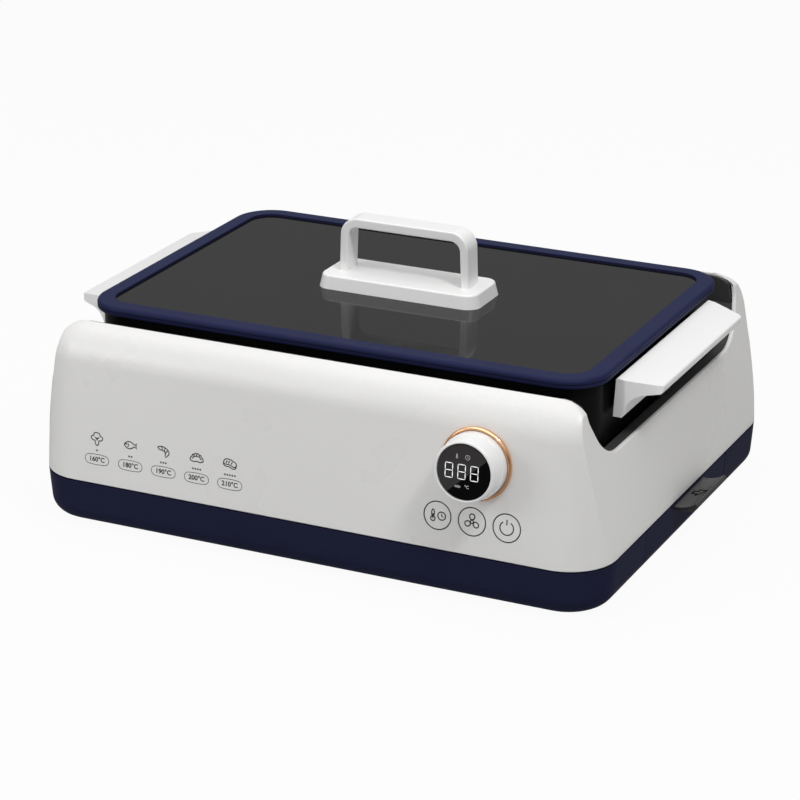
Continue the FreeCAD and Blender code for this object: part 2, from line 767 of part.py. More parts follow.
def handle_face(z):
    """Where the leaning inner face of a handle stands at a height."""
    share = (z - handle_bottom) / HANDLE_DEPTH
    return handle_inner_low + share * (handle_inner_high - handle_inner_low)


def handle_lug(y):
    """Lug on the pan's end wall that fills the gap to the handle."""
    low = handle_bottom + 2.0
    high = handle_top - 5.0
    root = pan_half_length - 1.0
    corners = [(root, low), (handle_face(low), low), (handle_face(high), high), (root, high)]
    points = [Vector(x, y - LUG_WIDTH / 2, z) for x, z in corners]
    return prism(points, [0] * 4, Vector(0, LUG_WIDTH, 0))


def handle_bore(y, radius, depth):
    """Level screw hole from the handle's face inwards."""
    start = handle_face(screw_level)
    return Part.makeCylinder(radius, depth, Vector(start + 0.5, y, screw_level), Vector(-1, 0, 0))


def build_handle():
    """Right pan handle: a wall on the lugs, a scooped underside and a lip that slopes outwards."""
    lip_top = handle_top - HANDLE_SLOPE
    lip_low = lip_top - HANDLE_LIP
    wall_x = handle_inner_low + HANDLE_WALL
    corners = [
        (handle_inner_low, handle_bottom),
        (handle_inner_high, handle_top),
        (handle_outer, lip_top),
        (handle_outer - 0.6, lip_low),
        (wall_x + HANDLE_SCOOP_RUN, lip_low - HANDLE_SCOOP_DROP),
        (wall_x, handle_bottom),
    ]
    inner_half = HANDLE_INNER_WIDTH / 2
    outer_half = HANDLE_OUTER_WIDTH / 2
    points = [Vector(x, -inner_half, z) for x, z in corners]
    handle = prism(points, [0, 1.0, 1.5, 1.5, HANDLE_SCOOP_ROUND, 0], Vector(0, HANDLE_INNER_WIDTH, 0))
    plan = [
        (handle_inner_low - 1.0, inner_half),
        (handle_inner_high + HANDLE_WALL, inner_half),
        (handle_outer + 1.0, outer_half),
    ]
    plan += [(x, -y) for x, y in reversed(plan)]
    plan_points = [Vector(x, y, handle_bottom - 1.0) for x, y in plan]
    handle = handle.common(prism(plan_points, [0, 5.0, 8.0, 8.0, 5.0, 0], Vector(0, 0, HANDLE_DEPTH + 2.0)))
    cuts = []
    for sy in (1, -1):
        y = sy * LUG_SPREAD / 2
        hole = handle_bore(y, SCREW_RADIUS + 0.2, HANDLE_WALL * 4)
        hole.translate(Vector(HANDLE_WALL * 3, 0, 0))
        recess = Part.makeCylinder(SCREW_HEAD_RADIUS + CLEAR_GAP, HANDLE_REACH,
                                   Vector(handle_seat, y, screw_level), Vector(1, 0, 0))
        cuts += [hole, recess]
    return handle.cut(Part.makeCompound(cuts))


def handle_screws():
    """Screws through the handle walls into the lugs, both ends."""
    screws = []
    axis = Vector(-1, 0, 0)
    for sy in (1, -1):
        y = sy * LUG_SPREAD / 2
        tip = handle_face(screw_level) - LUG_REACH - 0.5
        seat = Vector(handle_seat, y, screw_level)
        shaft = Part.makeCylinder(SCREW_RADIUS, handle_seat - tip, seat, axis)
        head = Part.makeCylinder(SCREW_HEAD_RADIUS, SCREW_HEAD_HEIGHT,
                                 Vector(handle_seat + SCREW_HEAD_HEIGHT, y, screw_level), axis)
        screws.append(join([shaft, head]))
    return screws + [mirrored(item) for item in screws]


def build_lid():
    """Lid: glass in a rim, a locating gasket, and a handle on a plate held by two screws."""
    rim = slab(lid_half_length, lid_half_width, LID_CORNER, pan_top, pan_top + RIM_HEIGHT)
    rim = rim.makeFillet(RIM_ROUND, edges_at(rim, pan_top + RIM_HEIGHT))
    rim = rim.makeFillet(RIM_ROUND / 2, edges_at(rim, pan_top))
    open_x = lid_half_length - RIM_WIDTH
    open_y = lid_half_width - RIM_WIDTH
    mouth = slab(open_x, open_y, LID_CORNER - RIM_WIDTH, pan_top, pan_top + RIM_HEIGHT)
    seat_inset = RIM_WIDTH - RIM_GRIP
    glass_x = lid_half_length - seat_inset
    glass_y = lid_half_width - seat_inset
    glass = slab(glass_x, glass_y, LID_CORNER - seat_inset, glass_low, glass_top)
    groove_z = pan_top + RIM_HEIGHT * 0.42
    groove_outer = slab(lid_half_length + 1.0, lid_half_width + 1.0, LID_CORNER + 1.0,
                        groove_z, groove_z + RIM_GROOVE)
    groove_inner = slab(lid_half_length - RIM_GROOVE, lid_half_width - RIM_GROOVE, LID_CORNER - RIM_GROOVE,
                        groove_z, groove_z + RIM_GROOVE)
    rim = rim.cut(mouth).cut(glass).cut(groove_outer.cut(groove_inner))
    hold_x = pan_half_length - PAN_WALL - GASKET_GAP
    hold_y = pan_half_width - PAN_WALL - GASKET_GAP
    hold_corner = PAN_CORNER - PAN_WALL - GASKET_GAP
    gasket = slab(hold_x, hold_y, hold_corner, pan_top - GASKET_DEPTH, pan_top)
    gasket = gasket.cut(slab(hold_x - GASKET_WIDTH, hold_y - GASKET_WIDTH, hold_corner - GASKET_WIDTH,
                             pan_top - GASKET_DEPTH, pan_top))
    low = outline(PLATE_LENGTH / 2, PLATE_WIDTH / 2, PLATE_CORNER, glass_top)
    high = outline(PLATE_LENGTH / 2 - PLATE_DRAFT, PLATE_WIDTH / 2 - PLATE_DRAFT,
                   PLATE_CORNER - PLATE_DRAFT / 2, plate_top)
    plate = Part.makeLoft([low, high], True, True)
    plate = plate.makeFillet(PLATE_ROUND, edges_at(plate, plate_top))
    bail = build_bail()
    washer = 0.8
    head_low = glass_low - washer - SCREW_HEAD_HEIGHT
    hole = SCREW_RADIUS + CLEAR_GAP
    screws = []
    washers = []
    for sx in (1, -1):
        x = sx * (BAIL_WIDTH - BAIL_LEG) / 2
        screws.append(screw(x, 0, head_low, plate_top + BAIL_THREAD - SCREW_TIP_GAP))
        washers.append(ring(x, 0, glass_low - washer, glass_low, SCREW_HEAD_RADIUS + 2.5, hole))
        passage = post(x, 0, glass_low, plate_top, hole)
        glass = glass.cut(passage)
        plate = plate.cut(passage)
        bail = bail.cut(post(x, 0, plate_top, plate_top + BAIL_THREAD, SCREW_RADIUS + 0.05))
    node("lid_rim", rim)
    node("lid_glass", glass)
    node("lid_gasket", gasket)
    node("lid_handle_plate", plate)
    node("lid_handle_bail", bail)
    node("lid_handle_screws", *screws)
    node("lid_handle_washers", *washers)


def build_bail():
    """Flat strap bent into the lid's handle."""
    foot = BAIL_WIDTH / 2
    top = foot - BAIL_LEAN
    inner_top = bail_top - BAIL_BAR
    inner_corner = BAIL_CORNER - BAIL_LEG
    half = [(foot, plate_top, 0), (top, bail_top, BAIL_CORNER)]
    inside = [(foot - BAIL_LEG, plate_top, 0), (top - BAIL_LEG, inner_top, inner_corner)]
    corners = half + [(-x, z, r) for x, z, r in reversed(half)]
    corners += [(-x, z, r) for x, z, r in inside] + list(reversed(inside))
    points = [Vector(x, -BAIL_DEPTH / 2, z) for x, z, _ in corners]
    bail = prism(points, [r for _, _, r in corners], Vector(0, BAIL_DEPTH, 0))
    rounded = []
    for edge in bail.Edges:
        box = edge.BoundBox
        on_face = abs(box.YMax - box.YMin) < 1e-4
        if on_face and box.ZMax > plate_top + 1e-3:
            rounded.append(edge)
    return bail.makeFillet(BAIL_EDGE_ROUND, rounded)


def build_drawer():
    """Drip drawer: tray, flush front and scooped pull, with its runners."""
    half = drawer_half - DRAWER_GAP
    low = FOOT_HEIGHT + DRAWER_SILL + DRAWER_GAP
    space = block(drawer_face, half_length + WALL, -half, half, low, seam_z - SEAM_GROOVE)
    front = base_envelope(0).common(space)
    tray_x = drawer_face - TRAY_LENGTH / 2
    outer = slab(TRAY_LENGTH / 2, tray_half, TRAY_CORNER, tray_low, tray_top)
    inner = slab(TRAY_LENGTH / 2 - TRAY_WALL, tray_half - TRAY_WALL, TRAY_CORNER - TRAY_WALL,
                 tray_low + TRAY_WALL, tray_top)
    tray = outer.cut(inner)
    tray.translate(Vector(tray_x, 0, 0))
    runners = []
    runner_x0 = tray_x - TRAY_LENGTH / 2 - RUNNER_THICKNESS
    runner_x1 = drawer_face - 8.0
    for sy in (1, -1):
        guide = sy * (tray_half + RUNNER_GAP)
        guide_out = guide + sy * RUNNER_THICKNESS
        ledge_in = guide - sy * RUNNER_LEDGE
        wall = block(runner_x0, runner_x1, min(guide, guide_out), max(guide, guide_out),
                     floor_z, floor_z + RUNNER_HEIGHT)
        ledge = block(runner_x0, runner_x1, min(ledge_in, guide_out), max(ledge_in, guide_out),
                      floor_z, floor_z + RUNNER_THICKNESS)
        stop_x = tray_x - TRAY_LENGTH / 2 - RUNNER_GAP
        stop = block(runner_x0, stop_x, min(ledge_in, guide_out), max(ledge_in, guide_out),
                     floor_z, floor_z + RUNNER_HEIGHT)
        runners.append(join([wall, ledge, stop]))
    node("drip_tray", tray)
    node("drawer_front", front)
    node("drawer_pull", build_pull())
    node("drawer_runners", *runners)


def build_pull():
    """Scooped ledge at the top of the drawer front."""
    root = half_length - WALL
    tip = half_length + PULL_REACH
    top = seam_z - PULL_SINK
    lip = seam_z + PULL_RISE
    low = top - PULL_THICKNESS
    begin = Vector(root, 0, top)
    sag = Vector(half_length + PULL_REACH * 0.42, 0, top - 0.2)
    crest = Vector(tip - 1.8, 0, lip)
    nose = Vector(tip, 0, lip - 2.2)
    heel = Vector(tip - 3.0, 0, low + 1.2)
    belly = Vector(half_length + PULL_REACH * 0.4, 0, low)
    tail = Vector(root, 0, low)
    edges = [
        Part.Arc(begin, sag, crest).toShape(),
        Part.LineSegment(crest, nose).toShape(),
        Part.LineSegment(nose, heel).toShape(),
        Part.LineSegment(heel, belly).toShape(),
        Part.LineSegment(belly, tail).toShape(),
        Part.LineSegment(tail, begin).toShape(),
    ]
    pull = Part.Face(Part.Wire(edges)).extrude(Vector(0, PULL_WIDTH, 0))
    pull.translate(Vector(0, -PULL_WIDTH / 2, 0))
    return pull.cut(base_envelope(0)).cut(shell_envelope(0))


def build_dial():
    """Dial: trim ring, turning knob, fixed hub with the display, hollow encoder and control board."""
    bore = HUB_RADIUS + RUNNING_GAP
    front = KNOB_REACH
    seat = front - WINDOW_RECESS - WINDOW_THICKNESS
    knob_base = 0.6
    knob = turned([
        (bore, -KNOB_TAIL),
        (tail_radius, -KNOB_TAIL),
        (tail_radius, knob_base),
        (KNOB_RADIUS, knob_base),
        (KNOB_RADIUS, KNOB_SHOULDER),
        (KNOB_RADIUS - 0.7, KNOB_SHOULDER + 0.5),
        (KNOB_FRONT_RADIUS, front - 1.0),
        (KNOB_FRONT_RADIUS - 1.0, front),
        (WINDOW_RADIUS + CLEAR_GAP, front),
        (WINDOW_RADIUS + CLEAR_GAP, seat - 0.3),
        (bore, seat - 0.3),
    ])
    ring_inner = KNOB_RADIUS + CLEAR_GAP
    ring_outer = ring_inner + RING_WIDTH
    trim = turned([
        (ring_inner, 0.0),
        (ring_outer, 0.0),
        (ring_outer, RING_THICKNESS - 0.9),
        (ring_outer - 0.9, RING_THICKNESS),
        (ring_inner + 0.3, RING_THICKNESS),
        (ring_inner, RING_THICKNESS - 0.3),
    ])
    hub = ring(0, 0, -BOARD_DEPTH, seat, HUB_RADIUS, HUB_RADIUS - HUB_WALL)
    window = turned([
        (0.0, seat),
        (WINDOW_RADIUS, seat),
        (WINDOW_RADIUS, seat + WINDOW_THICKNESS - 0.5),
        (WINDOW_RADIUS - 0.5, seat + WINDOW_THICKNESS),
        (0.0, seat + WINDOW_THICKNESS),
    ])
    module = post(0, 0, seat - 8.0, seat, HUB_RADIUS - HUB_WALL)
    encoder = ring(0, 0, -BOARD_DEPTH, -WALL - 0.2, tail_radius + 5.0, tail_radius + CLEAR_GAP)
    foot = BOARD_FOOT - DIAL_UP
    board = block(-BOARD_WIDTH / 2, BOARD_WIDTH / 2, foot, foot + BOARD_HEIGHT,
                  -BOARD_DEPTH - BOARD_THICKNESS, -BOARD_DEPTH)
    screws = []
    for x, up in board_posts():
        board = board.cut(post(x, up, -BOARD_DEPTH - BOARD_THICKNESS, -BOARD_DEPTH, 1.2))
        back = -BOARD_DEPTH - BOARD_THICKNESS
        screws.append(join([post(x, up, back, -WALL - 2.0, 1.0), post(x, up, back - 1.5, back, 2.6)]))
    springs = []
    for index in (-1, 0, 1):
        up = KEY_UP - DIAL_UP
        inner = KEY_SPRING_RADIUS - KEY_SPRING_WIRE
        springs.append(ring(index * KEY_PITCH, up, -BOARD_DEPTH, -WALL, KEY_SPRING_RADIUS, inner))
    pieces = {
        "dial_knob": [knob],
        "dial_trim_ring": [trim],
        "dial_hub": [hub],
        "display_window": [window],
        "display_module": [module],
        "dial_encoder": [encoder],
        "control_board": [board],
        "control_board_screws": screws,
        "touch_key_springs": springs,
    }
    for name, shapes in pieces.items():
        node(name, *[on_wall(shape, DIAL_X, DIAL_UP) for shape in shapes])


def sweep(path, radius):
    """Round tube along a wire."""
    start = path.Edges[0]
    spot = start.valueAt(start.FirstParameter)
    heading = start.tangentAt(start.FirstParameter)
    section = Part.Wire([Part.makeCircle(radius, spot, heading)])
    return path.makePipeShell([section], True, False)


def build_heating():
    """Tubular element on a reflector, with its clips, terminals, cut-out, sensor and drain funnel."""
    tail_z = well_underside - ELEMENT_TAIL
    turn = (element_side - ELEMENT_INNER_RUN) / 2
    half = [
        (element_end, element_side, tail_z, 0),
        (element_end, element_side, element_z, ELEMENT_BEND),
        (-element_end, element_side, element_z, turn),
        (-element_end, ELEMENT_INNER_RUN, element_z, turn),
        (spacer_x - POST_RADIUS * 2, ELEMENT_INNER_RUN, element_z, ELEMENT_INNER_RUN),
    ]
    route = half + [(x, -y, z, r) for x, y, z, r in reversed(half)]
    path = rounded_path([Vector(x, y, z) for x, y, z, _ in route], [r for _, _, _, r in route])
    element = sweep(path, ELEMENT_RADIUS)
    sheet_top = reflector_z + REFLECTOR_SHEET
    rim_top = reflector_z + REFLECTOR_DEPTH
    dish_x = element_end + REFLECTOR_MARGIN
    dish_y = element_side + REFLECTOR_MARGIN
    dish = slab(dish_x, dish_y, REFLECTOR_CORNER, reflector_z, rim_top)
    hollow = slab(dish_x - REFLECTOR_SHEET, dish_y - REFLECTOR_SHEET, REFLECTOR_CORNER - REFLECTOR_SHEET,
                  sheet_top, rim_top)
    holes = [post(0, 0, reflector_z, sheet_top, FUNNEL_NECK + FUNNEL_WALL + CLEAR_GAP)]
    holes.append(post(SENSOR_X, 0, reflector_z, sheet_top, SENSOR_STEM + CLEAR_GAP))
    terminals = []
    for sy in (1, -1):
        x, y = element_end, sy * element_side
        holes.append(post(x, y, reflector_z, sheet_top, ELEMENT_RADIUS + CLEAR_GAP))
        bush = ring(x, y, tail_z + 1.0, well_underside, ELEMENT_RADIUS + 3.5, ELEMENT_RADIUS + 0.1)
        terminals.append(bush)
        terminals.append(post(x, y, tail_z - 8.0, tail_z, 1.6))
    screws = []
    spacers = []
    for sx, sy in CORNERS:
        x, y = sx * spacer_x, sy * spacer_y
        holes.append(post(x, y, reflector_z, sheet_top, SCREW_RADIUS + CLEAR_GAP))
        spacers.append(ring(x, y, well_floor_z, reflector_z, POST_RADIUS, SCREW_RADIUS + CLEAR_GAP))
        head = post(x, y, sheet_top, sheet_top + SCREW_HEAD_HEIGHT, SCREW_HEAD_RADIUS)
        screws.append(join([head, post(x, y, well_underside, sheet_top, SCREW_RADIUS)]))
    clips = []
    cheek = ELEMENT_RADIUS + CLIP_CHEEK
    for sx, sy in CORNERS:
        x, y = sx * CLIP_SPREAD / 2, sy * element_side
        clip = block(x - CLIP_WIDTH / 2, x + CLIP_WIDTH / 2, y - cheek, y + cheek, sheet_top, element_z)
        trough = Part.makeCylinder(ELEMENT_RADIUS + CLIP_GAP, 2 * CLIP_WIDTH,
                                   Vector(x - CLIP_WIDTH, y, element_z), Vector(1, 0, 0))
        clips.append(clip.cut(trough))
    funnel_top = pan_bottom - SPOUT_LENGTH + 0.8
    neck = FUNNEL_NECK + FUNNEL_WALL
    flange_top = well_floor_z + 1.5
    funnel = turned([
        (FUNNEL_NECK, seam_z - 2.0),
        (neck, seam_z - 2.0),
        (neck, well_floor_z),
        (neck + 7.0, well_floor_z),
        (neck + 7.0, flange_top),
        (neck, flange_top),
        (neck, sheet_top + 1.0),
        (FUNNEL_RADIUS + FUNNEL_WALL, funnel_top),
        (FUNNEL_RADIUS, funnel_top),
        (FUNNEL_NECK, sheet_top + 1.0),
    ])
    cutout = post(element_end - CUTOUT_INSET, 0, reflector_z - CUTOUT_HEIGHT, reflector_z, CUTOUT_RADIUS)
    node("heating_element", element)
    node("heat_reflector", dish.cut(hollow).cut(Part.makeCompound(holes)))
    node("reflector_screws", *screws)
    node("reflector_spacers", *spacers)
    node("element_clips", *clips)
    node("element_terminals", *terminals)
    node("drain_funnel", funnel)
    node("thermal_cutout", cutout)
    build_sensor(sheet_top)


def build_sensor(sheet_top):
    """Sprung temperature sensor that reaches up to the pan's underside."""
    cap_top = pan_bottom - 0.3
    cap_low = cap_top - 1.5
    guide_top = sheet_top + 5.0
    collar_high = reflector_z - 0.5
    stem_low = collar_high - 2.0
    cap = post(SENSOR_X, 0, cap_low, cap_top, SENSOR_RADIUS)
    stem = post(SENSOR_X, 0, stem_low, cap_low, SENSOR_STEM)
    collar = post(SENSOR_X, 0, stem_low, collar_high, SENSOR_STEM + 1.6)
    sensor = join([cap, stem, collar])
    guide = ring(SENSOR_X, 0, sheet_top, guide_top, SENSOR_STEM + 2.5, SENSOR_STEM + RUNNING_GAP)
    spring = ring(SENSOR_X, 0, guide_top, cap_low, SENSOR_STEM + 1.8, SENSOR_STEM + 0.6)
    node("temperature_sensor", sensor)
    node("sensor_guide", guide)
    node("sensor_spring", spring)


def build_fan():
    """Smoke fan: motor on the floor, scroll with its duct, impeller on a shaft, filter and rear grille."""
    duct_x0 = FAN_X + FAN_RADIUS - DUCT_WIDTH
    duct_x1 = FAN_X + FAN_RADIUS
    duct_end = half_width
    inlet_top = well_underside
    scroll = join([
        post(FAN_X, fan_y, fan_low, fan_top, FAN_RADIUS),
        block(duct_x0, duct_x1, fan_y, duct_end, fan_low, fan_top),
        post(FAN_X, fan_y, fan_top - 1.0, inlet_top, fan_inlet + FAN_WALL),
    ])
    hollow = join([
        post(FAN_X, fan_y, fan_low + FAN_WALL, fan_top - FAN_WALL, FAN_RADIUS - FAN_WALL),
        block(duct_x0 + FAN_WALL, duct_x1 - FAN_WALL, fan_y, duct_end, fan_low + FAN_WALL,
              fan_top - FAN_WALL),
        post(FAN_X, fan_y, fan_top - FAN_WALL, inlet_top, fan_inlet),
        post(FAN_X, fan_y, fan_low, fan_low + FAN_WALL, SHAFT_RADIUS * 3),
    ])
    scroll = scroll.cut(hollow).common(shell_envelope(WALL + 0.2))
    motor_low = floor_z + 2.0
    bearing_low = fan_low - 12.0
    motor = post(FAN_X, fan_y, motor_low, fan_low, MOTOR_RADIUS)
    motor = motor.cut(post(FAN_X, fan_y, bearing_low, fan_low, SHAFT_RADIUS + RUNNING_GAP))
    disc_low = fan_low + FAN_WALL + 1.2
    shaft_low = bearing_low + 0.5
    shaft = post(FAN_X, fan_y, shaft_low, disc_low + IMPELLER_HEIGHT * 0.7, SHAFT_RADIUS)
    parts = [post(FAN_X, fan_y, disc_low, disc_low + 1.6, IMPELLER_RADIUS)]
    parts.append(post(FAN_X, fan_y, disc_low, disc_low + IMPELLER_HEIGHT * 0.6, SHAFT_RADIUS * 3))
    root = IMPELLER_RADIUS * 0.66
    for index in range(BLADE_COUNT):
        blade = block(root, IMPELLER_RADIUS - 0.5, -0.6, 0.6, disc_low, disc_low + IMPELLER_HEIGHT)
        blade.rotate(Vector(root, 0, 0), Vector(0, 0, 1), 30)
        blade.rotate(Vector(0, 0, 0), Vector(0, 0, 1), 360 / BLADE_COUNT * index)
        blade.translate(Vector(FAN_X, fan_y, 0))
        parts.append(blade)
    bore = post(FAN_X, fan_y, disc_low, disc_low + IMPELLER_HEIGHT, SHAFT_RADIUS + 0.02)
    impeller = join(parts).cut(bore)
    mesh_top = well_floor_z + 2.0
    mesh_radius = fan_inlet + 4.0
    mesh = post(FAN_X, fan_y, well_floor_z, mesh_top, mesh_radius)
    gaps = []
    pitch = 5.0
    rows = int(mesh_radius / pitch) - 1
    for row in range(-rows, rows + 1):
        reach = math.sqrt((mesh_radius - 3.0) ** 2 - (row * pitch) ** 2)
        x = FAN_X + row * pitch
        gaps.append(block(x - 1.5, x + 1.5, fan_y - reach, fan_y - 1.0, well_floor_z, mesh_top))
        gaps.append(block(x - 1.5, x + 1.5, fan_y + 1.0, fan_y + reach, well_floor_z, mesh_top))
    node("fan_scroll", scroll)
    node("fan_motor", motor)
    node("fan_shaft", shaft)
    node("fan_impeller", impeller)
    node("smoke_filter", mesh.cut(Part.makeCompound(gaps)))
    node("exhaust_grille", build_grille())


def build_grille():
    """Slotted cover over the fan's outlet in the back wall."""
    thickness = 2.0
    tongue = WALL - 0.5
    plug_gap = 0.2
    flange = slab(DUCT_WIDTH / 2 + grille_flange, grille_high / 2 + grille_flange, 4.0, 0, thickness)
    plug = slab(DUCT_WIDTH / 2 - plug_gap, grille_high / 2 - plug_gap, 2.0, -tongue, thickness)
    grille = join([flange, plug])
    pitch = (DUCT_WIDTH - 2.0) / GRILLE_SLOTS
    slots = []
    for index in range(GRILLE_SLOTS):
        x = (index - (GRILLE_SLOTS - 1) / 2) * pitch
        slots.append(block(x - pitch * 0.3, x + pitch * 0.3, -grille_high / 2 + 2.0, grille_high / 2 - 2.0,
                           -tongue, thickness))
    return on_wall(grille.cut(Part.makeCompound(slots)), grille_x, grille_up, 1)


def build_inlet():
    """Mains socket in the back wall, with its three pins."""
    lip = 3.0
    lip_thickness = 2.0
    body = block(-INLET_WIDTH / 2, INLET_WIDTH / 2, -INLET_HEIGHT / 2, INLET_HEIGHT / 2,
                 -INLET_DEPTH, lip_thickness)
    flange = slab(INLET_WIDTH / 2 + lip, INLET_HEIGHT / 2 + lip, 3.0, 0, lip_thickness)
    cavity_x = INLET_WIDTH / 2 - INLET_WALL
    cavity_y = INLET_HEIGHT / 2 - INLET_WALL
    floor = -INLET_DEPTH + 3.0
    chamfer = 5.0
    right = [(cavity_x, -cavity_y), (cavity_x, cavity_y - chamfer), (cavity_x - chamfer, cavity_y)]
    corners = right + [(-x, y) for x, y in reversed(right)]
    points = [Vector(x, y, floor) for x, y in corners]
    cavity = prism(points, [1.0, 0, 0, 0, 0, 1.0], Vector(0, 0, lip_thickness - floor))
    socket = join([body, flange]).cut(cavity)
    pins = []
    for x, y in ((-7.0, -3.0), (0.0, 3.0), (7.0, -3.0)):
        blade = block(x - 1.0, x + 1.0, y - 2.0, y + 2.0, -INLET_DEPTH - 6.0, lip_thickness - INLET_MOUTH)
        socket = socket.cut(blade)
        pins.append(on_wall(blade, INLET_X, INLET_UP, 1))
    node("mains_inlet", on_wall(socket, INLET_X, INLET_UP, 1))
    node("mains_inlet_pins", *pins)


def build_power_board():
    """Power board on its posts, with the parts that stand on it."""
    x0, x1 = power_board_x
    y0, y1 = power_board_y
    top = board_post_z + BOARD_THICKNESS
    board = block(x0, x1, y0, y1, board_post_z, top)
    screws = []
    for x, y in POWER_POSTS:
        board = board.cut(post(x, y, board_post_z, top, POWER_SCREW_RADIUS + THREAD_GAP))
        head = post(x, y, top, top + POWER_SCREW_RISE, POWER_SCREW_HEAD)
        screws.append(join([head, post(x, y, board_post_z, top, POWER_SCREW_RADIUS)]))
    middle = (y0 + y1) / 2
    relay_x = x0 + 2 * POWER_SCREW_INSET + PART_GAP / 2
    coil_x = relay_x + RELAY_LENGTH + PART_GAP
    can_x = coil_x + COIL_LENGTH + PART_GAP + CAN_RADIUS
    film_y = middle + PART_GAP / 2
    clamp_x = x1 - PART_GAP / 2 - CLAMP_LENGTH
    relay = block(relay_x, relay_x + RELAY_LENGTH, middle - RELAY_WIDTH / 2, middle + RELAY_WIDTH / 2,
                  top, top + RELAY_HEIGHT)
    coil = block(coil_x, coil_x + COIL_LENGTH, middle - COIL_WIDTH / 2, middle + COIL_WIDTH / 2,
                 top, top + COIL_HEIGHT)
    can = post(can_x, middle - CAN_RADIUS - PART_GAP / 2, top, top + COIL_HEIGHT, CAN_RADIUS)
    film = block(can_x - CAN_RADIUS, can_x + CAN_RADIUS, film_y, film_y + FILM_WIDTH, top, top + FILM_HEIGHT)
    clamp = block(clamp_x, clamp_x + CLAMP_LENGTH, middle - CLAMP_WIDTH / 2, middle + CLAMP_WIDTH / 2,
                  top, top + CLAMP_HEIGHT)
    node("power_board", board)
    node("power_board_screws", *screws)
    node("power_board_components", relay, coil, can, film, clamp)


def build_casing_screws():
    """Screws from below: casing posts and well legs."""
    casing = [screw(x, y, screw_head_z, seam_z + POST_HEIGHT - 5.0) for x, y in SHELL_POSTS]
    legs = [screw(x, y, screw_head_z, board_post_z + LEG_THREAD - SCREW_TIP_GAP) for x, y in LINER_LEGS]
    node("casing_screws", *casing)
    node("well_screws", *legs)


def build():
    """All pieces, laid out about the middle of the casing."""
    node("base_tray", build_base())
    node("rubber_feet", *build_feet())
    node("upper_shell", build_shell())
    node("well_liner", build_liner())
    node("pan_rests", *build_rests())
    node("grill_pan", build_pan())
    handle = build_handle()
    node("pan_handle_right", handle)
    node("pan_handle_left", mirrored(handle))
    node("pan_handle_screws", *handle_screws())
    build_lid()
    build_drawer()
    build_dial()
    build_heating()
    build_fan()
    build_inlet()
    build_power_board()
    build_casing_screws()


def save():
    """Moves the assembly to the middle of its footprint and writes one file for each piece."""
    os.makedirs("parts", exist_ok=True)
    whole = Part.makeCompound(list(NODES.values()))
    box = whole.optimalBoundingBox(False, False)
    shift = Vector(-box.Center.x, -box.Center.y, -box.ZMin)
    print("footprint shift", [round(value, 4) for value in shift])
    print("size", [round(value, 3) for value in (box.XLength, box.YLength, box.ZLength)])
    for name, shape in NODES.items():
        if not shape.isValid() or not shape.Solids:
            print("not valid:", name)
        moved = shape.copy()
        moved.translate(shift)
        moved.exportStep("parts/" + name + ".step")
    print(len(NODES), "pieces")


build()
save()
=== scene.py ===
import json
import logging
import math
from dataclasses import dataclass, field
from enum import Enum
from typing import Any, Callable, Optional, Sequence, Union

import bpy
from mathutils import Matrix, Vector


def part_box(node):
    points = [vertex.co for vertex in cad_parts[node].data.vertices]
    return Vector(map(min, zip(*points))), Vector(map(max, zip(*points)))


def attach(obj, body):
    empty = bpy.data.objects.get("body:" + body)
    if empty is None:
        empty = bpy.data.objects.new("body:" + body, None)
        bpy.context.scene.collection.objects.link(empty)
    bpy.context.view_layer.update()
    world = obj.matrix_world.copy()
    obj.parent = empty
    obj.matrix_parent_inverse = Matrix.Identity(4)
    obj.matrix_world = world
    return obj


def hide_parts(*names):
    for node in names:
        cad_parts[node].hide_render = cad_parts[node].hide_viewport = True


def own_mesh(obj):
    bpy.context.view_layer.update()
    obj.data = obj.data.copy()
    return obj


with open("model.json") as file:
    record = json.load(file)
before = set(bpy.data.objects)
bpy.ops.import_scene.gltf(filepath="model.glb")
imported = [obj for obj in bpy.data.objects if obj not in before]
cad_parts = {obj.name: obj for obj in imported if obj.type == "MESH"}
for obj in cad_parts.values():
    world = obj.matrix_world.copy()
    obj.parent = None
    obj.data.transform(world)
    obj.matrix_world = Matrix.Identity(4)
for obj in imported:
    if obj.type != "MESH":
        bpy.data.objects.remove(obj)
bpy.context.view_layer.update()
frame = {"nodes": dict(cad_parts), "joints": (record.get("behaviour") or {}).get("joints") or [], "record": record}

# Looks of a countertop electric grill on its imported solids: finishes, softened edges, printed marks,
# the lit display, and the studio round it. Metres; sizes of small pieces are given in millimetres.

LOG = logging.getLogger("grill")
MM = 0.001
Color = tuple[float, float, float]
Point = tuple[float, float]
Place = tuple[float, float, float]
Names = tuple[str, ...]
Object = bpy.types.Object
Socket = bpy.types.NodeSocket
Feeds = dict[Union[str, int], Any]

# Sockets of the Mix node for colours.
MIX_SHARE, MIX_FIRST, MIX_SECOND, MIX_RESULT = 0, 6, 7, 2
UNIT = (0.0, 1.0)
BUMP_STRENGTH = 0.6
LEAST_ROUGHNESS = 0.02
# Flat triangles of a copied solid are joined below this angle, in degrees.
FLAT_ANGLE = 0.02
# An edge counts as hollow, or its two faces as folded back, past these limits.
HOLLOW_LIMIT = 0.02
FOLD_LIMIT = 1e-6
NORMAL_WEIGHT = 80
# Height of printed ink, and the distances at which its points are joined, in millimetres.
INK_HEIGHT = 0.05
LINE_MERGE = 0.002
LETTER_MERGE = 0.001
LINE_STEPS = 8
LETTER_STEPS = 4
# Degrees between the points of a drawn arc.
ARC_STEP = 30.0


class Surface(Enum):
    """Kinds of surface that the finishes are made from."""

    MOULDED = "moulded"
    BRUSHED = "brushed"
    CAST = "cast"
    POLISHED = "polished"
    INK = "ink"


class Effect(Enum):
    """Shader node groups that several finishes share."""

    GRAIN = "moulded_grain"
    BRUSH = "brushed_lines"
    PITS = "cast_pits"
    MARKS = "handling_marks"


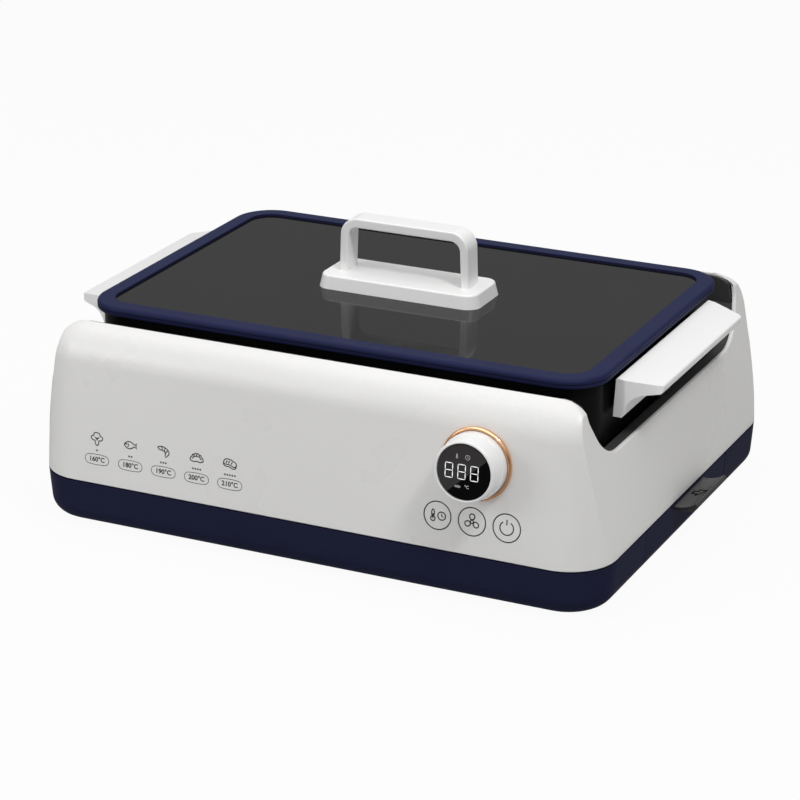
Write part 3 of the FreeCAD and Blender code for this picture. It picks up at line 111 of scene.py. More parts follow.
@dataclass(frozen=True)
class Patches:
    """Soft noise: its octaves, and the part of its range that is stretched to run from 0 to 1."""

    detail: float
    used: Point


PATCHES: dict[Effect, Patches] = {
    Effect.GRAIN: Patches(2.0, (0.32, 0.68)),
    Effect.BRUSH: Patches(3.0, (0.30, 0.70)),
    Effect.PITS: Patches(3.0, (0.30, 0.70)),
    Effect.MARKS: Patches(2.0, (0.30, 0.72)),
}
# Octaves of the noise in the relief of a surface.
RELIEF_DETAIL: dict[Effect, float] = {Effect.GRAIN: 3.0, Effect.BRUSH: 4.0}


@dataclass(frozen=True)
class Finish:
    """One material: its colours, its gloss and the size of its texture.

    Sizes are in millimetres. Drift is the slow change of tone over the surface.
    """

    name: str
    surface: Surface
    color: Color
    drift_color: Color
    roughness: float
    spread: float = 0.05
    metallic: float = 0.0
    specular: float = 0.5
    grain: float = 0.5
    relief: float = 0.01
    drift: float = 60.0
    marks: float = 45.0
    stretch: Place = (0.04, 1.0, 1.0)
    glow: float = 0.0


FINISHES: dict[str, Finish] = {finish.name: finish for finish in (
    Finish("navy_plastic", Surface.MOULDED, (0.0150, 0.0168, 0.0425), (0.0162, 0.0182, 0.0465), 0.40,
           spread=0.02, specular=0.02, grain=1.4, relief=0.01),
    Finish("foot_rubber", Surface.MOULDED, (0.022, 0.022, 0.023), (0.030, 0.030, 0.031), 0.85, specular=0.2,
           grain=0.9, relief=0.05),
    Finish("shell_white", Surface.MOULDED, (0.775, 0.770, 0.758), (0.792, 0.787, 0.775), 0.28, spread=0.01,
           specular=0.36, grain=2.4, relief=0.006, drift=160.0),
    Finish("liner_black", Surface.MOULDED, (0.0430, 0.0430, 0.0434), (0.0460, 0.0460, 0.0464), 0.50,
           specular=0.25, grain=1.1, relief=0.02),
    Finish("zinc_steel", Surface.BRUSHED, (0.50, 0.50, 0.52), (0.56, 0.56, 0.57), 0.36, metallic=1.0,
           grain=0.25, relief=0.006),
    Finish("pan_coating", Surface.CAST, (0.0055, 0.0055, 0.0058), (0.0075, 0.0075, 0.0078), 0.30,
           specular=0.05, grain=0.9, relief=0.02),
    Finish("handle_white", Surface.MOULDED, (0.890, 0.890, 0.886), (0.900, 0.900, 0.896), 0.32, spread=0.01,
           specular=0.45, grain=2.4, relief=0.006),
    Finish("rim_navy", Surface.MOULDED, (0.0160, 0.0198, 0.0600), (0.0172, 0.0214, 0.0650), 0.38, spread=0.02,
           specular=0.04, grain=1.6, relief=0.008),
    Finish("dark_glass", Surface.POLISHED, (0.0055, 0.0055, 0.0056), (0.0065, 0.0065, 0.0066), 0.06,
           spread=0.02, specular=0.17, marks=80.0),
    Finish("seal_rubber", Surface.MOULDED, (0.028, 0.028, 0.030), (0.036, 0.036, 0.038), 0.75, specular=0.25,
           grain=0.9, relief=0.03),
    Finish("tray_steel", Surface.CAST, (0.022, 0.022, 0.023), (0.028, 0.028, 0.030), 0.28, specular=0.4,
           grain=1.2, relief=0.015),
    Finish("pull_black", Surface.MOULDED, (0.0200, 0.0200, 0.0205), (0.0230, 0.0230, 0.0235), 0.30,
           specular=1.0, grain=1.3, relief=0.008),
    Finish("knob_white", Surface.MOULDED, (0.830, 0.830, 0.827), (0.842, 0.842, 0.839), 0.22, spread=0.01,
           specular=0.5, grain=2.2, relief=0.004),
    Finish("rose_gold", Surface.BRUSHED, (0.83, 0.46, 0.25), (0.88, 0.52, 0.30), 0.13, spread=0.03,
           metallic=1.0, grain=0.12, relief=0.002, stretch=(0.05, 0.05, 1.0)),
    Finish("display_black", Surface.POLISHED, (0.0022, 0.0022, 0.0024), (0.0026, 0.0026, 0.0028), 0.08,
           spread=0.02, specular=0.06, marks=20.0),
    Finish("component_black", Surface.MOULDED, (0.030, 0.030, 0.033), (0.038, 0.038, 0.041), 0.5,
           specular=0.35, grain=0.9, relief=0.03),
    Finish("board_green", Surface.MOULDED, (0.022, 0.125, 0.055), (0.030, 0.150, 0.066), 0.35, grain=1.2,
           relief=0.02, drift=12.0),
    Finish("element_sheath", Surface.BRUSHED, (0.13, 0.122, 0.118), (0.19, 0.175, 0.165), 0.42, metallic=1.0,
           grain=0.3, relief=0.008, drift=25.0),
    Finish("reflector_steel", Surface.BRUSHED, (0.56, 0.56, 0.57), (0.63, 0.63, 0.635), 0.30, metallic=1.0,
           grain=0.2, relief=0.005),
    Finish("contact_brass", Surface.BRUSHED, (0.70, 0.54, 0.26), (0.78, 0.61, 0.31), 0.25, metallic=1.0,
           grain=0.15, relief=0.004),
)}

PRINT_GREY = Finish("print_grey", Surface.INK, (0.020, 0.020, 0.026), (0.026, 0.026, 0.032), 0.55, grain=0.3,
                    relief=0.003, drift=6.0)
PRINT_FINE = Finish("print_fine", Surface.INK, (0.060, 0.060, 0.068), (0.072, 0.072, 0.080), 0.55, grain=0.3,
                    relief=0.003, drift=6.0)
LIT_WHITE = Finish("lit_white", Surface.INK, (0.80, 0.82, 0.84), (0.86, 0.87, 0.88), 0.5, grain=0.4,
                   relief=0.003, drift=3.0, glow=0.55)
LIT_DIM = Finish("lit_dim", Surface.INK, (0.42, 0.42, 0.43), (0.48, 0.48, 0.49), 0.5, grain=0.4, relief=0.003,
                 drift=3.0, glow=0.25)
MARK_BLACK = Finish("mark_black", Surface.INK, (0.004, 0.004, 0.004), (0.006, 0.006, 0.006), 0.70,
                    specular=0.02, grain=0.3, relief=0.003, drift=5.0)


class NodeBoard:
    """Adds nodes to a shader tree and joins them."""

    def __init__(self, tree: bpy.types.NodeTree) -> None:
        """Works on one tree."""
        self.tree = tree

    def feed(self, node: bpy.types.Node, feeds: Feeds) -> None:
        """Joins each named input of a node to a socket, or gives it a value."""
        for key, value in feeds.items():
            if isinstance(value, Socket):
                self.tree.links.new(value, node.inputs[key])
            else:
                node.inputs[key].default_value = value

    def add(self, kind: str, feeds: Optional[Feeds] = None, **settings: Any) -> bpy.types.Node:
        """Adds a node.

        Args:
            kind: Its type, without the words that all shader nodes begin with.
            feeds: What its inputs are joined to or set to.
            settings: Its own properties.

        Returns:
            The node.
        """
        node = self.tree.nodes.new("ShaderNode" + kind)
        for name, value in settings.items():
            setattr(node, name, value)
        self.feed(node, feeds or {})
        return node

    def ranged(self, value: Socket, given: Point = UNIT, wanted: Point = UNIT, **settings: Any) -> Socket:
        """A value moved from a given range to the wanted one."""
        feeds = {"From Min": given[0], "From Max": given[1], "To Min": wanted[0], "To Max": wanted[1]}
        return self.add("MapRange", {"Value": value, **feeds}, **settings).outputs["Result"]

    def blend(self, share: Socket, first: Any, second: Any) -> Socket:
        """Two colours mixed by a share."""
        feeds = {MIX_SHARE: share, MIX_FIRST: first, MIX_SECOND: second}
        return self.add("Mix", feeds, data_type="RGBA").outputs[MIX_RESULT]

    def largest(self, value: Socket, *others: Socket) -> Socket:
        """The largest of several values."""
        for other in others:
            value = self.add("Math", {0: value, 1: other}, operation="MAXIMUM").outputs[0]
        return value

    def choose(self, share: Socket, first: Socket, second: Socket) -> Socket:
        """Two shaders mixed by a share."""
        return self.add("MixShader", {0: share, 1: first, 2: second}).outputs[0]


class EffectShop:
    """Builds each shared node group once."""

    def __init__(self) -> None:
        """Starts with no groups."""
        self.groups: dict[Effect, bpy.types.NodeTree] = {}

    def group(self, effect: Effect) -> bpy.types.NodeTree:
        """The node group of an effect, built at its first use."""
        if effect not in self.groups:
            self.groups[effect] = self._build(effect)
        return self.groups[effect]

    @staticmethod
    def _board(effect: Effect) -> NodeBoard:
        """An empty group with the sockets that its effect needs."""
        tree = bpy.data.node_groups.new(effect.value, "ShaderNodeTree")
        if effect is Effect.MARKS:
            scales, outputs = ("Marks Scale",), ("Mask",)
        else:
            scales, outputs = ("Grain Scale", "Drift Scale"), ("Height", "Drift")
        vectors = ("Vector", "Stretch") if effect is Effect.BRUSH else ("Vector",)
        sockets = (("INPUT", "Vector", vectors), ("INPUT", "Float", scales), ("OUTPUT", "Float", outputs))
        for way, kind, names in sockets:
            for name in names:
                tree.interface.new_socket(name=name, in_out=way, socket_type="NodeSocket" + kind)
        tree.nodes.new("NodeGroupInput")
        tree.nodes.new("NodeGroupOutput")
        return NodeBoard(tree)

    def _build(self, effect: Effect) -> bpy.types.NodeTree:
        """Lays out the patches of a group and, for a surface, its relief.

        Args:
            effect: Handling marks, moulded grain, drawn lines or the pits of a coating.

        Returns:
            The group.
        """
        board = self._board(effect)
        given = board.tree.nodes["Group Input"].outputs
        ends = board.tree.nodes["Group Output"]
        scale, result = ("Marks Scale", "Mask") if effect is Effect.MARKS else ("Drift Scale", "Drift")
        kind = PATCHES[effect]
        feeds: Feeds = {"Vector": given["Vector"], "Scale": given[scale], "Detail": kind.detail}
        noise = board.add("TexNoise", feeds).outputs["Fac"]
        board.feed(ends, {result: board.ranged(noise, kind.used)})
        if effect is Effect.MARKS:
            return board.tree
        feeds = {"Vector": given["Vector"], "Scale": given["Grain Scale"]}
        if effect is Effect.BRUSH:
            ways = {0: given["Vector"], 1: given["Stretch"]}
            feeds["Vector"] = board.add("VectorMath", ways, operation="MULTIPLY").outputs["Vector"]
        if effect is Effect.PITS:
            height = board.add("TexVoronoi", feeds, feature="SMOOTH_F1").outputs["Distance"]
        else:
            feeds["Detail"] = RELIEF_DETAIL[effect]
            height = board.add("TexNoise", feeds).outputs["Fac"]
        board.feed(ends, {"Height": height})
        return board.tree


@dataclass
class FinishShop:
    """Makes one material from each finish and puts it on pieces."""

    effects: EffectShop = field(default_factory=EffectShop)
    made: dict[str, bpy.types.Material] = field(default_factory=dict)

    def material(self, finish: Finish) -> bpy.types.Material:
        """The material of a finish, made at its first use."""
        if finish.name not in self.made:
            self.made[finish.name] = self._make(finish)
        return self.made[finish.name]

    def _make(self, finish: Finish) -> bpy.types.Material:
        """Lays out the nodes of a finish.

        Args:
            finish: What the surface is.

        Returns:
            The new material.
        """
        material = bpy.data.materials.new("finish_" + finish.name)
        material.use_nodes = True
        board = NodeBoard(material.node_tree)
        place = board.add("TexCoord").outputs["Object"]
        effect = {Surface.BRUSHED: Effect.BRUSH, Surface.CAST: Effect.PITS}.get(finish.surface, Effect.GRAIN)
        feeds: Feeds = {"Vector": place, "Grain Scale": 1.0 / (finish.grain * MM),
                        "Drift Scale": 1.0 / (finish.drift * MM)}
        if effect is Effect.BRUSH:
            feeds["Stretch"] = finish.stretch
        grain = board.add("Group", feeds, node_tree=self.effects.group(effect))
        feeds = {"Vector": place, "Marks Scale": 1.0 / (finish.marks * MM)}
        marks = board.add("Group", feeds, node_tree=self.effects.group(Effect.MARKS))
        least = max(LEAST_ROUGHNESS, finish.roughness - finish.spread)
        most = min(1.0, finish.roughness + finish.spread)
        color = (*finish.color, 1.0)
        shader = material.node_tree.nodes["Principled BSDF"]
        board.feed(shader, {
            "Base Color": board.blend(grain.outputs["Drift"], color, (*finish.drift_color, 1.0)),
            "Roughness": board.ranged(marks.outputs["Mask"], wanted=(least, most)),
            "Metallic": finish.metallic,
            "Specular IOR Level": finish.specular,
        })
        if finish.glow > 0:
            board.feed(shader, {"Emission Color": color, "Emission Strength": finish.glow})
        if finish.surface is not Surface.POLISHED:
            bump = board.add("Bump", {"Strength": BUMP_STRENGTH, "Distance": finish.relief * MM,
                                      "Height": grain.outputs["Height"]})
            board.feed(shader, {"Normal": bump.outputs["Normal"]})
        return material

    def dress(self, obj: Object, finish: Finish) -> None:
        """Puts a finish on all of a CAD node or a new piece."""
        material = self.material(finish)
        if obj.material_slots:
            for slot in obj.material_slots:
                slot.material = material
        else:
            obj.data.materials.append(material)


@dataclass(frozen=True)
class SoftEdge:
    """Which sharp edges of a copied solid are rounded, and how far.

    Width, merging distance and height above the table are in millimetres, the angle in degrees.
    """

    width: float
    segments: int = 3
    angle: float = 25.0
    above: float = -1.0
    merge: float = 0.002


@dataclass(frozen=True)
class Line:
    """One drawn line: its points in millimetres, whether it closes and whether it curves."""

    points: tuple[Point, ...]
    closed: bool = False
    smooth: bool = True


class Bench:
    """Hand tools that work on meshes through Blender's operators."""

    @staticmethod
    def take(obj: Object) -> Object:
        """Makes one object the only selected and active one."""
        bpy.ops.object.select_all(action="DESELECT")
        obj.select_set(True)
        bpy.context.view_layer.objects.active = obj
        return obj

    @staticmethod
    def fresh(operator: Callable[..., Any], **settings: Any) -> Object:
        """The object that an operator adds, with everything else deselected first."""
        bpy.ops.object.select_all(action="DESELECT")
        operator(**settings)
        return bpy.context.view_layer.objects.active

    @classmethod
    def lay_out(cls, name: str, data: bpy.types.ID) -> Object:
        """A new object of a mesh or curve, selected and active."""
        obj = bpy.data.objects.new(name, data)
        bpy.context.scene.collection.objects.link(obj)
        return cls.take(obj)

    @staticmethod
    def edit(mode: str, action: str = "SELECT") -> None:
        """Opens edit mode for VERT or EDGE on the active mesh, with all or nothing selected."""
        bpy.ops.object.mode_set(mode="EDIT")
        bpy.ops.mesh.select_mode(type=mode)
        bpy.ops.mesh.select_all(action=action)

    @staticmethod
    def close() -> None:
        """Leaves edit mode."""
        bpy.ops.object.mode_set(mode="OBJECT")

    @classmethod
    def pick(cls, obj: Object, mode: str, chosen: Sequence[int]) -> None:
        """Opens edit mode for VERT or EDGE on the active mesh, with only the chosen ones selected."""
        cls.edit(mode, "DESELECT")
        cls.close()
        elements = obj.data.vertices if mode == "VERT" else obj.data.edges
        for index in chosen:
            elements[index].select = True
        bpy.ops.object.mode_set(mode="EDIT")

    @staticmethod
    def outward() -> None:
        """Turns all normals of the open mesh outward, and closes it."""
        bpy.ops.mesh.select_all(action="SELECT")
        bpy.ops.mesh.normals_make_consistent(inside=False)
        Bench.close()

    @staticmethod
    def modify(obj: Object, name: str, kind: str, **settings: Any) -> None:
        """Puts a modifier with its settings on the active object and applies it."""
        modifier = obj.modifiers.new(name, kind)
        for key, value in settings.items():
            setattr(modifier, key, value)
        bpy.ops.object.modifier_apply(modifier=modifier.name)

    @classmethod
    def copy_of(cls, node: str, name: str) -> Object:
        """A copy of a CAD node's mesh that may be reshaped, without the solid's own normals."""
        mesh = frame["nodes"][node].data.copy()
        mesh.materials.clear()
        mesh.name = name
        obj = cls.lay_out(name, mesh)
        bpy.ops.mesh.customdata_custom_splitnormals_clear()
        return obj

    @classmethod
    def soften(cls, obj: Object, edge: SoftEdge) -> Object:
        """Joins the triangles of a copied solid and rounds its sharp outer edges.

        Args:
            obj: A copy made by copy_of.
            edge: Which edges, and how far.

        Returns:
            The same object, smooth shaded.
        """
        cls.take(obj)
        cls.edit("VERT")
        bpy.ops.mesh.remove_doubles(threshold=edge.merge * MM)
        bpy.ops.mesh.dissolve_limited(angle_limit=math.radians(FLAT_ANGLE))
        cls.close()
        mesh = obj.data
        beside: dict[tuple[int, int], list[bpy.types.MeshPolygon]] = {}
        for polygon in mesh.polygons:
            for key in polygon.edge_keys:
                beside.setdefault(key, []).append(polygon)
        cls.pick(obj, "EDGE", [item.index for item in mesh.edges
                               if cls._is_sharp(mesh, item, beside.get(item.key, []), edge)])
        bpy.ops.mesh.bevel(offset=edge.width * MM, offset_type="OFFSET", segments=edge.segments,
                           affect="EDGES", clamp_overlap=False)
        cls.close()
        return cls.smooth(obj)

    @staticmethod
    def _is_sharp(mesh: bpy.types.Mesh, item: bpy.types.MeshEdge, faces: Sequence[bpy.types.MeshPolygon],
                  edge: SoftEdge) -> bool:
        """Whether an edge stands out and lies high enough.

        Args:
            mesh: The mesh.
            item: The edge.
            faces: The faces beside it.
            edge: Which edges are wanted.

        Returns:
            True where the edge is to be rounded.
        """
        if len(faces) != 2:
            return False
        first, second = faces
        if first.normal.angle(second.normal, 0.0) < math.radians(edge.angle):
            return False
        start, end = (mesh.vertices[index].co for index in item.vertices)
        inward = (first.center - (start + end) / 2).normalized()
        folded = (first.normal + second.normal).length < FOLD_LIMIT
        if inward.dot(second.normal) > HOLLOW_LIMIT or folded:
            return False
        return edge.above * MM <= min(start.z, end.z)

    @classmethod
    def smooth(cls, obj: Object, angle: float = 35.0) -> Object:
        """Smooth shading that keeps large flat faces flat, and edges sharper than an angle in degrees."""
        cls.take(obj)
        bpy.ops.object.shade_smooth_by_angle(angle=math.radians(angle))
        cls.modify(obj, "even_normals", "WEIGHTED_NORMAL", keep_sharp=True, weight=NORMAL_WEIGHT)
        return obj

    @classmethod
    def _meshed(cls, merge: float) -> Object:
        """Turns the active curve or text into an open mesh, with points nearer than a distance joined."""
        bpy.ops.object.convert(target="MESH")
        cls.edit("VERT")
        bpy.ops.mesh.remove_doubles(threshold=merge * MM)
        return bpy.context.view_layer.objects.active

    @classmethod
    def draw(cls, name: str, lines: Sequence[Line], width: float, thickness: float = INK_HEIGHT) -> Object:
        """Printed lines as a thin raised mesh on the plane of X and Y.

        Args:
            name: Name of the new piece.
            lines: What is drawn.
            width: Width of the line in millimetres.
            thickness: Height of the ink in millimetres.

        Returns:
            The mesh.
        """
        curve = bpy.data.curves.new(name, "CURVE")
        curve.dimensions = "3D"
        curve.bevel_depth = width / 2 * MM
        curve.bevel_resolution = 1
        curve.resolution_u = LINE_STEPS
        curve.use_fill_caps = True
        for line in lines:
            spline = curve.splines.new("BEZIER")
            spline.bezier_points.add(len(line.points) - 1)
            spline.use_cyclic_u = line.closed
            for knot, (x, y) in zip(spline.bezier_points, line.points):
                knot.co = (x * MM, y * MM, 0.0)
                knot.handle_left_type = knot.handle_right_type = "AUTO" if line.smooth else "VECTOR"
        cls.lay_out(name, curve)
        obj = cls._meshed(LINE_MERGE)
        bpy.ops.transform.resize(value=(1.0, 1.0, thickness / width), center_override=(0.0, 0.0, 0.0))
        cls.outward()
        return obj

    @classmethod
    def letter(cls, name: str, text: str, height: float, bold: float) -> Object:
        """Lettering as a thin mesh, centred on the plane of X and Y.

        Args:
            name: Name of the new piece.
            text: Figures and units.
            height: Size of the type in millimetres.
            bold: How far the outlines are moved out, in millimetres.

        Returns:
            The mesh.
        """
        obj = cls.fresh(bpy.ops.object.text_add)
        obj.name = name
        type_face = obj.data
        type_face.body = text
        type_face.align_x = type_face.align_y = "CENTER"
        type_face.size = height * MM
        type_face.offset = bold * MM
        type_face.extrude = INK_HEIGHT / 2 * MM
        type_face.resolution_u = LETTER_STEPS
        obj = cls._meshed(LETTER_MERGE)
        cls.close()
        return obj

    @classmethod
    def join(cls, parts: Sequence[Object], name: str) -> Object:
        """One object of a new name from several pieces."""
        first = cls.take(parts[0])
        for part in parts[1:]:
            part.select_set(True)
        bpy.ops.object.join()
        first.name = first.data.name = name
        return first

    @staticmethod
    def move(obj: Object, matrix: Matrix) -> Object:
        """Moves a piece's mesh, so that its object stays at the origin."""
        obj.data.transform(matrix)
        obj.data.update()
        return obj

    @classmethod
    def twin(cls, obj: Object, matrix: Matrix) -> Object:
        """A copy of a piece with its own mesh, moved by a matrix."""
        other = obj.copy()
        other.data = obj.data.copy()
        bpy.context.scene.collection.objects.link(other)
        return cls.move(other, matrix)


def joint_of(name: str) -> dict[str, Any]:
    """A joint of the part, by its name."""
    return next(item for item in frame["joints"] if item["name"] == name)


@dataclass
class Wall:
    """Axes of the sloping front wall, from the joint of the dial that stands on it.

    Places are in millimetres from the dial's middle: right, up the wall and out of it.
    """

    spot: Vector
    out: Vector
    right: Vector = field(default_factory=lambda: Vector((1.0, 0.0, 0.0)))

    @classmethod
    def of_dial(cls) -> "Wall":
        """The wall that carries the dial."""
        joint = joint_of("dial_turn")
        return cls(Vector(joint["pos_m"]), Vector(joint["axis"]).normalized())

    @property
    def up(self) -> Vector:
        """Direction up the wall."""
        return self.out.cross(self.right)

    def matrix(self, x: float, up: float, out: float = 0.0) -> Matrix:
        """Place of a print whose own plane is X and Y.

        Args:
            x: To the right of the dial, in millimetres.
            up: Above the dial's middle, in millimetres.
            out: Out of the wall, in millimetres.

        Returns:
            The matrix that lays the print there.
        """
        spot = self.spot + (self.right * x + self.up * up + self.out * out) * MM
        axes = Matrix((self.right, self.up, self.out)).transposed().to_4x4()
        return Matrix.Translation(spot) @ axes


@dataclass
class SubAssembly:
    """A group of pieces that are built and dressed together."""

    shop: FinishShop
    body: str = "housing"
    nodes: Names = ()

    def slot_of(self, node: str) -> str:
        """The material slot that the record gives a node."""
        return next(item["material_slot"] for item in frame["record"]["subparts"] if item["node"] == node)

    def keep(self, obj: Object, slot: str, finish: Optional[Finish] = None, stands_for: Sequence[str] = (),
             body: Optional[str] = None) -> Object:
        """Dresses a new piece and sets it on its body.

        Args:
            obj: The piece.
            slot: The record's material slot that it follows.
            finish: Its finish where that differs from the slot's.
            stands_for: CAD nodes that it is shown in place of.
            body: Its body where that differs from the sub-assembly's.

        Returns:
            The same piece.
        """
        self.shop.dress(obj, finish or FINISHES[slot])
        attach(obj, body or self.body)
        if stands_for:
            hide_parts(*stands_for)
        LOG.info("piece %s on %s, %d faces", obj.name, body or self.body, len(obj.data.polygons))
        return obj

    def soft_copy(self, node: str, name: str, edge: SoftEdge, body: Optional[str] = None) -> Object:
        """Shows a node by a copy with rounded edges.

        Args:
            node: The CAD node.
            name: Name of the new piece.
            edge: Which edges are rounded.
            body: Its body where that differs from the sub-assembly's.

        Returns:
            The new piece.
        """
        obj = Bench.soften(Bench.copy_of(node, name), edge)
        return self.keep(obj, self.slot_of(node), stands_for=(node,), body=body)

    def build(self) -> None:
        """Makes the new pieces."""

    def dress(self) -> None:
        """Finishes the CAD nodes that are shown as they are."""
        for node in self.nodes:
            self.shop.dress(frame["nodes"][node], FINISHES[self.slot_of(node)])
            LOG.info("node %s dressed as %s", node, self.slot_of(node))


@dataclass
class Casing(SubAssembly):
    """White shell on the navy base, with its feet and screws."""

    nodes: Names = ("base_tray", "rubber_feet", "casing_screws", "well_screws")
    mouth: SoftEdge = SoftEdge(0.9, above=98.0, merge=0.12)

    def build(self) -> None:
        """Rounds the lip of the shell's mouth."""
        self.soft_copy("upper_shell", "shell_rounded", self.mouth)


@dataclass
class Well(SubAssembly):
    """Black well with its dipped flange and the pan's rests."""

    nodes: Names = ("well_liner", "pan_rests")


@dataclass
class GrillPan(SubAssembly):
    """Coated pan with its two scooped handles."""

    body: str = "pan"
    nodes: Names = ("grill_pan", "pan_handle_right", "pan_handle_left", "pan_handle_screws")


@dataclass
class Lid(SubAssembly):
    """Dark glass in its rim, with the plate and strap of its handle."""

    body: str = "lid"
    nodes: Names = ("lid_rim", "lid_glass", "lid_gasket", "lid_handle_bail", "lid_handle_plate",
                    "lid_handle_screws", "lid_handle_washers")


@dataclass
class DripDrawer(SubAssembly):
    """Drip tray with its flush front and scooped pull.

    The arrow's sizes are in millimetres; its neck and its shaft are shares of its length and half width.
    """

    body: str = "drawer"
    nodes: Names = ("drip_tray",)
    front: SoftEdge = SoftEdge(0.5, segments=2)
    pull: SoftEdge = SoftEdge(0.45, segments=2)
    arrow_length: float = 10.0
    arrow_half: float = 5.6
    arrow_x: float = 3.9
    neck_share: float = 0.35
    shaft_share: float = 0.42
    line: float = 1.3
    line_height: float = 0.3
    cuts: int = 2
    hover: float = 2.0
    arrow_gap: float = 0.04
    arrow_rise: float = 0.2

    def build(self) -> None:
        """Rounds the front and the pull, and lays the arrow on the pull."""
        self.soft_copy("drawer_front", "drawer_front_rounded", self.front)
        self._arrow(self.soft_copy("drawer_pull", "pull_rounded", self.pull))

    def _arrow(self, pull: Object) -> None:
        """Moulded outline of an arrow that points the way the drawer draws out.

        Args:
            pull: The piece that carries it.
        """
        length, half = self.arrow_length, self.arrow_half
        neck = length * self.neck_share
        shaft = half * self.shaft_share
        upper = ((0.0, shaft), (neck, shaft), (neck, half))
        lower = tuple((x, -y) for x, y in reversed(upper))
        outline = Line((*upper, (length, 0.0), *lower), closed=True, smooth=False)
        arrow = Bench.draw("pull_arrow", [outline], self.line, self.line_height)
        low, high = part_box("drawer_pull")
        start = (low.x + self.arrow_x * MM, (low.y + high.y) / 2, high.z + self.hover * MM)
        Bench.take(Bench.move(arrow, Matrix.Translation(start)))
        Bench.edit("EDGE")
        bpy.ops.mesh.bisect(plane_co=(0.0, 0.0, start[2]), plane_no=(0.0, 0.0, 1.0), clear_inner=True)
        bpy.ops.mesh.select_all(action="SELECT")
        bpy.ops.mesh.subdivide(number_cuts=self.cuts)
        Bench.close()
        Bench.modify(arrow, "lay_down", "SHRINKWRAP", target=pull, wrap_method="PROJECT", use_project_z=True,
                     use_negative_direction=True, use_positive_direction=False, wrap_mode="ABOVE_SURFACE",
                     offset=self.arrow_gap * MM)
        Bench.modify(arrow, "thicken", "SOLIDIFY", thickness=self.arrow_rise * MM, offset=1.0)
        self.keep(arrow, "pull_black", MARK_BLACK)


@dataclass
class WallMarks(SubAssembly):
    """Pieces on the front wall, placed in millimetres from the dial's middle."""

    wall: Wall = field(default_factory=Wall.of_dial)

    def drawn(self, name: str, lines: Sequence[Line], width: float, *place: float) -> Object:
        """Lines of a width, at a place right of the dial, up the wall and out of it."""
        return Bench.move(Bench.draw(name, lines, width), self.wall.matrix(*place))

    def lettered(self, name: str, text: str, height: float, bold: float, *place: float) -> Object:
        """Lettering at a place right of the dial, up the wall and out of it."""
        return Bench.move(Bench.letter(name, text, height, bold), self.wall.matrix(*place))


@dataclass(frozen=True)
class Label:
    """A short word on the display: its size and place in millimetres."""

    name: str
    text: str
    height: float
    x: float
    up: float


